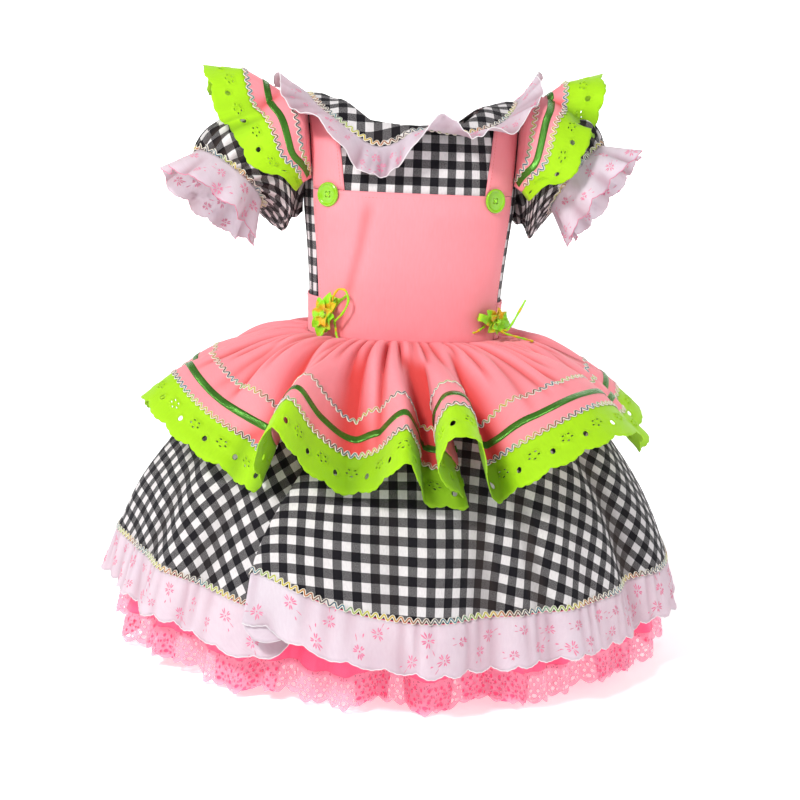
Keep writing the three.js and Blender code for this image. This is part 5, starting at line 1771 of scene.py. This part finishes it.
def half_skin(surface, start, gap=0.1):
    """Half of a tube, as a skin. Gap is left at each side seam, in degrees."""
    return lambda u, v: surface(start + gap + (180 - 2 * gap) * np.asarray(u, float), v)


def make_overskirt():
    for name, start in HALVES.items():
        skin = half_skin(peplum_at, start, 0.12)
        edging = half_skin(peplum_lace_at, start, 0.12)
        cloth(f"overskirt_{name}", down_and_across(skin, 46, 301), SALMON, "salmon_cotton",
              [f"peplum_{name}"])
        laced(f"overskirt_lace_{name}", edging, LIME_UNIT, LIME_REPEAT, 34, LIME_WIDTH, LIME, "lime_eyelet",
              [f"peplum_lace_{name}"])
        us = np.linspace(0.001, 0.999, 1200)
        length = peplum_length(start + 180 * us)
        ricrac(f"overskirt_ricrac_seam_{name}", skin, us, 1 - 0.8 / length)
        flat_ribbon(f"overskirt_ribbon_{name}", skin, us, 1 - 18 / length)
        ricrac(f"overskirt_ricrac_upper_{name}", skin, us, 1 - 43 / length)


# ---------------------------------------------------------------- skirt, hem frill and petticoat

SKIRT_CUT_START = 80.0  # mm from the middle of the skirt's circle to its waist


def skirt_flat(grid):
    """Flat coordinates of a circular skirt, with the grain straight down the middle of its half."""
    fall = np.linalg.norm(np.diff(grid, axis=0), axis=-1).mean(1)
    radius = SKIRT_CUT_START + np.concatenate([[0], np.cumsum(fall)])
    low = int(0.8 * (len(grid) - 1))
    run = run_along(grid[low])
    a = (run - run[len(run) // 2]) / radius[low]
    return pairs(radius[:, None] * np.sin(a), radius[:, None] * np.cos(a))


def make_skirt():
    for name, start in HALVES.items():
        skin = half_skin(skirt_at, start)
        grid = down_and_across(skin, 50, 481)
        cloth(f"gingham_skirt_{name}", grid, GINGHAM, "gingham",
              [f"skirt_{name}"], skirt_flat(grid))
        frill = trimmed(half_skin(hem_frill_at, start), scallops(40, 0.09))
        cloth(f"hem_frill_{name}", down_and_across(frill, 12, 481), LAWN, "white_lace",
              [f"hem_ruffle_{name}"], solid=LAWN_THICK)
        edge_cord(f"hem_frill_edge_{name}", frill, 640, WHITE_THREAD, "white_lace", 0.5)
        embroider(f"hem_sprigs_{name}", frill, staggered(30, (0.3, 0.68), 121 + int(start)), PINK_THREAD,
                  "white_lace", 13.5, LAWN_THICK)
        ricrac(f"hem_ricrac_{name}", skin, np.linspace(0.001, 0.999, 1500), 0.995)


TULLE_PLEATS = (  # pleats of tulle that hang behind the lace edging: start and end, in degrees from the front
    (-176, -160), (-150, -138), (-128, -112), (-102, -90), (-82, -72), (-66, -52), (-40, -26), (-10, -4.7),
    (-1, 7.5), (10, 23), (40, 56), (66, 74), (84, 100), (108, 122), (134, 146), (158, 168),
)
TULLE_LEAST, TULLE_SET_IN = 0.15, 2.4  # share of the lace's drop between the pleats, and mm behind the lace


def tulle_pleat_at(angle, v):
    angle, v = floats(angle, v)
    a = turned(angle)
    hung = sum(smooth(start - 0.7, start, a) * smooth(end + 0.7, end, a) for start, end in TULLE_PLEATS)
    drop = TULLE_LEAST + (0.94 - TULLE_LEAST) * hung + 0.05 * ripple(a, 67) * hung
    return petticoat_lace_at(angle, v * drop) - across(angle) * TULLE_SET_IN


NET_REPEAT, NET_WIDTH = 16.0, 32.0
NET_HOLES = (
    (4.0, 8.0, 1.5, 1.9, 7), (12.0, 8.0, 1.5, 1.9, 7),
    (8.0, 13.0, 1.3, 1.7, 7), (1.2, 14.0, 0.9, 1.2, 6), (14.8, 14.0, 0.9, 1.2, 6),
    (4.3, 19.0, 1.6, 1.6, 7), (11.7, 19.0, 1.6, 1.6, 7),
    (8.0, 24.0, 2.6, 1.9, 8), (3.1, 24.6, 0.9, 1.3, 6), (12.9, 24.6, 0.9, 1.3, 6),
)


def net_edge(x):
    return NET_WIDTH - 4.5 * (1 - abs(math.sin(math.pi * x / NET_REPEAT)))


NET_UNIT = lace_unit(NET_REPEAT, NET_WIDTH, NET_HOLES, net_edge, 3.4, 0.6)


def make_petticoat():
    for name, start in HALVES.items():
        skin = half_skin(petticoat_at, start, 0.08)
        edging = half_skin(petticoat_lace_at, start, 0.08)
        cloth(f"net_petticoat_{name}", down_and_across(skin, 24, 385), TULLE, "pink_tulle",
              [f"petticoat_{name}"], solid=0.6)
        laced(f"petticoat_edging_{name}", edging, NET_UNIT, NET_REPEAT, 66, NET_WIDTH, NET_LACE, "pink_tulle",
              [f"petticoat_lace_{name}"], solid=0.0)
        pleats = down_and_across(half_skin(tulle_pleat_at, start, 0.08), 9, 721)
        cloth(f"tulle_pleats_{name}", pleats, LAYERED_TULLE, "pink_tulle",
              [], solid=0.0)


# ---------------------------------------------------------------- buttons and waist flowers

BUTTON_RADIUS, BUTTON_THICK, BUTTON_BEVEL, BUTTON_HOLES = 12.2, 3.2, 0.25, 4
BUTTONS = {"left": (-83, -96), "right": (78, -96)}  # x, z
BUTTON_LIFT = 3.8  # above the bodice
BACK_BUTTON_RADIUS, BACK_BUTTON_THICK = 5.5, 2.2
BACK_BUTTON_HEIGHTS = (-72, -122, -172)
FLOWERS = {"left": (-76, -214, 70, 0.0), "right": (79, -216, -12, 1.5)}  # x, z, turn in degrees, sink
BOW = {"width": 8, "loop": 20, "puff": 4.5, "tail": 27, "thick": 0.9}
BOW_ENDS = {"a": 1, "b": -1}


def place_on_torso(x, z, lift_by):
    """A matrix whose Z stands out of the bodice's front at x and z, in mm."""
    level = TORSO.solve(np.array(float(z)), "z")
    half_width = TORSO.read(level, "half_width")
    angle = math.copysign(math.degrees(math.asin((abs(x) / half_width) ** (BODY_POWER / 2))), x)
    n = torso_normal(np.array(angle), level)
    p = torso_at(np.array(angle), level) + n * lift_by
    side = unit(np.cross([0, 0, 1.0], n))
    up = np.cross(n, side)
    return Matrix([[side[k], up[k], n[k], p[k]] for k in range(3)] + [[0, 0, 0, 1]])


def turned_solid(profile, segments, centre=(0.0, 0.0)):
    """Points and faces of a closed, turned solid. The profile's columns are radius and height."""
    points = [(centre[0] + r * math.cos(t), centre[1] + r * math.sin(t), h)
              for r, h in profile for t in ring_turns(segments)]
    faces = []
    for k in range((len(profile) - 1) * segments):
        ring, i = divmod(k, segments)
        after = ring * segments + (i + 1) % segments
        faces.append((k, after, after + segments, k + segments))
    faces.append(tuple(reversed(range(segments))))
    faces.append(tuple(len(points) - segments + i for i in range(segments)))
    return points, faces


def turned_button(name, profile, segments, hole_radius, hole_ring, material, place, replaces):
    """A turned profile with its four thread holes cut right through."""
    solid = mesh_in_mm(name, *turned_solid(profile, segments))
    smooth_shaded(solid, material)
    piece = in_scene(name, solid)
    cutter = hole_cutter(hole_radius, hole_ring, profile[-1][1] + 4)
    cut = piece.modifiers.new("thread_holes", "BOOLEAN")
    cut.object = cutter
    cut.solver = "EXACT"
    dg = bpy.context.evaluated_depsgraph_get()
    piece.data = bpy.data.meshes.new_from_object(piece.evaluated_get(dg))
    piece.modifiers.clear()
    bpy.data.objects.remove(cutter)
    bevel = piece.modifiers.new("soft_edges", "BEVEL")
    bevel.width = BUTTON_BEVEL * MM
    bevel.segments = 2
    bevel.limit_method = "ANGLE"
    piece.matrix_world = millimetres(place)
    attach(piece, "root")
    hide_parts(*replaces)
    return piece


def millimetres(place):
    """A place given in mm, as one in metres."""
    moved = place.copy()
    moved.translation = place.translation * MM
    return moved


def hole_cutter(radius, ring, tall):
    cutters = Gathered()
    for k in range(BUTTON_HOLES):
        a = math.pi / 4 + 2 * math.pi * k / BUTTON_HOLES
        centre = (ring * math.cos(a), ring * math.sin(a))
        points, faces = turned_solid(((radius, -2), (radius, tall)), 12, centre)
        cutters.add(points, faces, np.zeros((len(points), 2)))
    return in_scene("hole_cutter", mesh_in_mm("hole_cutter", np.concatenate(cutters.points), cutters.faces))


def placed(place, points):
    """Points given in a place's own axes, in mm, moved to the dress's."""
    m = np.array(place)
    return np.asarray(points, float) @ m[:3, :3].T + m[:3, 3]


def tube_between(path, radius, sides=6):
    """A round thread along a path of points: points, faces and flat coordinates."""
    path = np.asarray(path, float)
    ahead = unit(np.gradient(path, axis=0))
    side = unit(np.cross(ahead, [0.13, 0.21, 0.97]))
    up = np.cross(ahead, side)
    a = ring_turns(sides)
    radius = np.broadcast_to(np.asarray(radius, float), (len(path),))
    grid = (path[:, None] + side[:, None] * (radius[:, None, None] * np.cos(a)[None, :, None])
            + up[:, None] * (radius[:, None, None] * np.sin(a)[None, :, None]))
    faces = grid_faces(len(path), sides, closed=True)
    return grid, faces, pairs(a[None, :] * 0.5, np.arange(len(path))[:, None] * 0.6)


def make_buttons():
    r, t = BUTTON_RADIUS, BUTTON_THICK
    profile = (
        (r - 1.4, 0.0), (r - 0.4, 0.35), (r, t * 0.45), (r - 0.3, t * 0.85), (r - 1.1, t),
        (r - 1.9, t * 0.96), (r - 2.6, t * 0.72), (r - 3.4, t * 0.62), (r * 0.35, t * 0.55), (0.6, t * 0.55),
    )
    for name, (x, z) in BUTTONS.items():
        place = place_on_torso(x, z, BUTTON_LIFT)
        turned_button(f"strap_button_{name}", profile, 48, 1.15, 2.6, LIME_PLASTIC, place,
                      [f"button_{name}"])
        thread = Gathered()
        for a in (math.pi / 4, -math.pi / 4):
            for shift in (-0.35, 0.35):
                ends = np.array([math.cos(a), math.sin(a)]) * 2.7
                off = np.array([-math.sin(a), math.cos(a)]) * shift
                bowed = lambda k: t * 0.55 + 0.55 - 0.9 * abs(k) ** 4
                path = [(*(ends * k + off), bowed(k)) for k in np.linspace(-1, 1, 9)]
                thread.add(*tube_between(placed(place, path), 0.33))
        thread.make(f"strap_button_thread_{name}", LIME_THREAD, "lime_plastic")

    r, t = BACK_BUTTON_RADIUS, BACK_BUTTON_THICK
    profile = (
        (r - 0.8, 0.0), (r, t * 0.4), (r - 0.3, t * 0.85), (r - 0.9, t), (r - 1.7, t * 0.75), (0.4, t * 0.62),
    )
    to_back = Matrix.Rotation(math.pi, 4, "Z")
    for k, z in enumerate(BACK_BUTTON_HEIGHTS, start=1):
        place = to_back @ place_on_torso(0, z, CLOTH + SEAM + 0.6)
        turned_button(f"opening_button_{k}", profile, 32, 0.6, 1.4, DARK_PLASTIC, place,
                      [f"back_button_{k}"])


def bow_places():
    for name, (x, z, turn, sink) in FLOWERS.items():
        place = place_on_torso(x, z, PINAFORE + 1.9 - sink)
        yield name, place @ Matrix.Rotation(math.radians(turn), 4, "Z")


def make_bows():
    middle = BOW["puff"] * 0.84 + BOW["thick"] + 0.2
    for name, place in bow_places():
        for end, way in BOW_ENDS.items():
            us, vs = np.meshgrid(np.arange(40) / 40, np.linspace(0, 1, 9))
            t = 2 * math.pi * us
            half = BOW["loop"] / 2
            a = way * (half - (half - 0.7) * np.cos(t))
            fat = BOW["puff"] * np.sin(t) * (0.45 + 0.55 * np.sin(t / 2))
            wide = BOW["width"] / 2 * (0.6 + 0.4 * np.sin(t / 2))
            crease = 0.5 * np.cos(3 * math.pi * vs) * (1 - np.sin(t / 2))
            local = vec(a, (vs * 2 - 1) * wide, middle + fat + crease)
            grid = placed(place, local)
            flat = pairs(us * BOW["loop"] * 2, vs * BOW["width"])
            piece = make(f"waist_bow_{name}_{end}", grid, grid_faces(9, 40, closed=True), LIME_RIBBON,
                         "lime_ribbon", [f"flower_{name}_loop_{end}"], flat, 0.5)
            declare(piece, grid, closed=True)
        make_rosette(name, place, middle)
        make_tails(name, place, middle)
    make_streamers()


PETALS = (  # turn in degrees, length, width, and how far it stands up
    (0, 23, 14, 0.25), (48, 18, 13, 0.35), (100, 16, 12, 0.45), (150, 20, 13, 0.3), (185, 25, 14, 0.22),
    (236, 18, 12, 0.35), (282, 15, 12, 0.5), (325, 20, 13, 0.3),
    (20, 14, 10, 0.75), (92, 12, 10, 0.9), (165, 14, 10, 0.75), (230, 12, 10, 0.9), (305, 13, 10, 0.8),
)


def make_rosette(name, place, middle):
    """Two rounds of folded organza petals about a small knot."""
    base_height = middle + BOW["puff"] * 0.84 + 1.0
    petals = Gathered()
    rows, columns = 9, 12
    us, vs = np.meshgrid(np.linspace(-1, 1, rows), np.linspace(0, 1, columns))
    for k, (turn, length, width, stand) in enumerate(PETALS):
        a = math.radians(turn)
        out = 1.5 + length * vs
        half = width / 2 * np.sin(math.pi * np.clip(vs, 0, 1) ** 0.75) ** 0.8 + 0.35
        aside = us * half
        rise = stand * out - 0.9 * stand * out**2 / (length + 4) * 0.8
        cup = 1.9 * np.abs(us) ** 1.5 * np.sin(math.pi * vs) + 0.8 * np.sin(6 * vs + 2 * k) * us
        h = base_height + 0.25 * (k % 3) + rise + cup
        x = out * math.cos(a) - aside * math.sin(a)
        y = (out * math.sin(a) + aside * math.cos(a)) * 0.82
        petals.add(placed(place, vec(x, y, h)), grid_faces(columns, rows), pairs(aside, out))
    piece = petals.make(f"waist_flower_{name}", ORGANZA, "lime_eyelet", [f"flower_{name}"], 0.35)
    fifths = np.arange(5) * 2 * math.pi / 5
    middles = [(2.0 * math.cos(a), 2.0 * math.sin(a), base_height + 5.2) for a in fifths]
    knot = Gathered()
    for x, y, z in middles + [(0, 0, base_height + 6.2)]:
        s = np.linspace(0.05, math.pi - 0.05, 7)
        path = [(x, y, z + 1.5 * math.cos(k)) for k in s]
        knot.add(*tube_between(placed(place, path), 1.5 * np.sin(s), 8))
    knot.make(f"waist_flower_knot_{name}", LIME_THREAD, "lime_ribbon")


def make_tails(name, place, middle):
    """Two ribbon ends that hang from under each flower."""
    for end, way in BOW_ENDS.items():
        us, vs = np.meshgrid(np.linspace(0, 1, 26), np.linspace(-1, 1, 5))
        length = BOW["tail"] * (1.0 if way > 0 else 0.8)
        bend = 7 * us**2 * way
        width = BOW["width"] * 0.42 * (1 - 0.15 * us)
        notch = -3.0 * smooth(0.9, 1, us) * (1 - np.abs(vs))
        a = way * (2 + length * us * 0.9) + notch * way
        local = vec(a, vs * width - bend - 4 * us, middle - 3.4 + 1.2 * np.sin(math.pi * us * 1.5) - 1.2 * us)
        grid = placed(place, local)
        flat = pairs(us * length, vs * width)
        faces = grid_faces(5, 26)
        piece = make(f"waist_tail_{name}_{end}", grid, faces, LIME_RIBBON, "lime_ribbon", (), flat, 0.4)
        declare(piece, grid)


STREAMERS = {  # thin rolled ribbon at each flower: x, y, z of its points from the flower's middle
    "left": (
        ((0, -12, 8), (1, -14, 18), (6, -19, 27), (14, -23, 26), (17, -24, 15), (12, -20, 3), (4, -16, -6)),
        ((0, -6, -5), (-5, -8, -13), (-8, -12, -20), (-12, -17, -25)),
        ((3, -6, -4), (5, -8, -13), (6, -13, -21), (9, -18, -27)),
    ),
    "right": (
        ((4, -8, -5), (14, -7, -9), (20, -5, -10), (27, -4, 2), (37, -4, 22)),
        ((-4, -8, -6), (-13, -11, -12), (-22, -14, -13), (-32, -15, -12)),
        ((5, -8, -6), (18, -8, -13), (34, -4, -17), (48, 4, -21)),
    ),
}


STREAMER_RADIUS, STREAMER_ROUNDINGS = 1.15, 6


def make_streamers():
    for name, strands in STREAMERS.items():
        x, z, _, sink = FLOWERS[name]
        middle = np.array(place_on_torso(x, z, PINAFORE + 3 - sink).translation)
        for k, strand in enumerate(strands):
            knots = np.array(strand, float) + middle
            steps = np.linspace(0, 1, 40)
            path = points_at(steps, np.linspace(0, 1, len(knots)), knots)
            for _ in range(STREAMER_ROUNDINGS):
                path[1:-1] = (path[:-2] + 2 * path[1:-1] + path[2:]) / 4
            radius = STREAMER_RADIUS + 0.25 * np.sin(steps * 31 + k)
            points, faces, flat = tube_between(path, radius, 7)
            make(f"waist_streamer_{name}_{k + 1}", points, faces, ORGANZA, "lime_ribbon", (), flat)


# ---------------------------------------------------------------- studio

CAMERA_DISTANCE = 1.5
CAMERA_AZIMUTH, CAMERA_PITCH, CAMERA_ROLL = -5.0, 9.9, 2.5  # degrees
CAMERA_HEIGHT = -0.050
CAMERA_LENS, CAMERA_SENSOR = 64.3, 36.0
FLOOR_GAP, FLOOR_HALF = 0.0015, 12.0
WALL_RADIUS, WALL_HEIGHT = 7.0, 3.2
WALL_ARC = (-30, 210)  # degrees round from the right, between which the wall stands
WALL_CORNERS = 33
WALL_GLOW, FLOOR_GLOW = 0.85, 0.5


def make_camera():
    azimuth, pitch, roll = (math.radians(a) for a in (CAMERA_AZIMUTH, CAMERA_PITCH, CAMERA_ROLL))
    level = Vector((-math.sin(azimuth), math.cos(azimuth), 0))
    forward = level * math.cos(pitch) - Vector((0, 0, math.sin(pitch)))
    right = forward.cross(Vector((0, 0, 1))).normalized()
    up = right.cross(forward)
    x_axis = right * math.cos(roll) + up * math.sin(roll)
    y_axis = -right * math.sin(roll) + up * math.cos(roll)
    data = bpy.data.cameras.new("camera")
    data.lens, data.sensor_width = CAMERA_LENS, CAMERA_SENSOR
    data.clip_start, data.clip_end = 0.05, 50
    camera = in_scene("camera", data)
    axes = Matrix((x_axis, y_axis, -forward)).transposed().to_4x4()
    where = level * -CAMERA_DISTANCE + Vector((0, 0, CAMERA_HEIGHT))
    camera.matrix_world = Matrix.Translation(where) @ axes
    bpy.context.scene.camera = camera


LIGHTS = (  # name, where, size, watts, colour
    ("key", (-1.1, -1.5, 1.25), 0.4, 46.0, (1.0, 0.99, 0.97)),
    ("fill", (1.4, -1.6, 0.2), 1.0, 5.0, (0.97, 0.98, 1.0)),
    ("back", (0.7, 1.6, 0.9), 1.2, 9.0, (1.0, 1.0, 1.0)),
)
LIGHT_AIM = Vector((0, 0, -0.28))
WORLD = (0.97, 0.97, 0.98)
WORLD_STRENGTH = 0.36


def make_studio():
    for name, where, size, watts, color in LIGHTS:
        data = bpy.data.lights.new(name, "AREA")
        data.shape = "DISK"
        data.size, data.energy, data.color = size, watts, color
        lamp = in_scene(name, data)
        lamp.location = where
        lamp.rotation_mode = "QUATERNION"
        lamp.rotation_quaternion = (LIGHT_AIM - Vector(where)).to_track_quat("-Z", "Y")
    world = bpy.data.worlds.new("studio")
    world.use_nodes = True
    background = world.node_tree.nodes["Background"]
    background.inputs["Color"].default_value = (*WORLD, 1)
    background.inputs["Strength"].default_value = WORLD_STRENGTH
    bpy.context.scene.world = world
    bpy.context.scene.view_settings.view_transform = "Standard"

    low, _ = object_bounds()
    z = low.z - FLOOR_GAP
    wall = [(WALL_RADIUS * math.cos(a), WALL_RADIUS * math.sin(a), z + h)
            for h in (0.0, WALL_HEIGHT) for a in np.radians(np.linspace(*WALL_ARC, WALL_CORNERS))]
    panes = [(i, i + 1, WALL_CORNERS + i + 1, WALL_CORNERS + i) for i in range(WALL_CORNERS - 1)]
    paper("studio_wall", "studio_wall", wall, panes, WALL_GLOW)
    floor = [(x * FLOOR_HALF, y * FLOOR_HALF, z) for x, y in ((-1, -1), (1, -1), (1, 1), (-1, 1))]
    paper("floor", "studio_floor", floor, [(0, 1, 2, 3)], FLOOR_GLOW)


def paper(name, material, points, faces, glow):
    """A sheet of studio paper, with its points in metres."""
    mesh = bpy.data.meshes.new(name)
    mesh.from_pydata(points, [], faces)
    mesh.materials.append(studio_paper(material, glow))
    in_scene(name, mesh)


make_bodice()
make_sleeves()
make_pinafore()
make_wings()
make_collar()
make_overskirt()
make_skirt()
make_petticoat()
make_buttons()
make_bows()
make_camera()
make_studio()
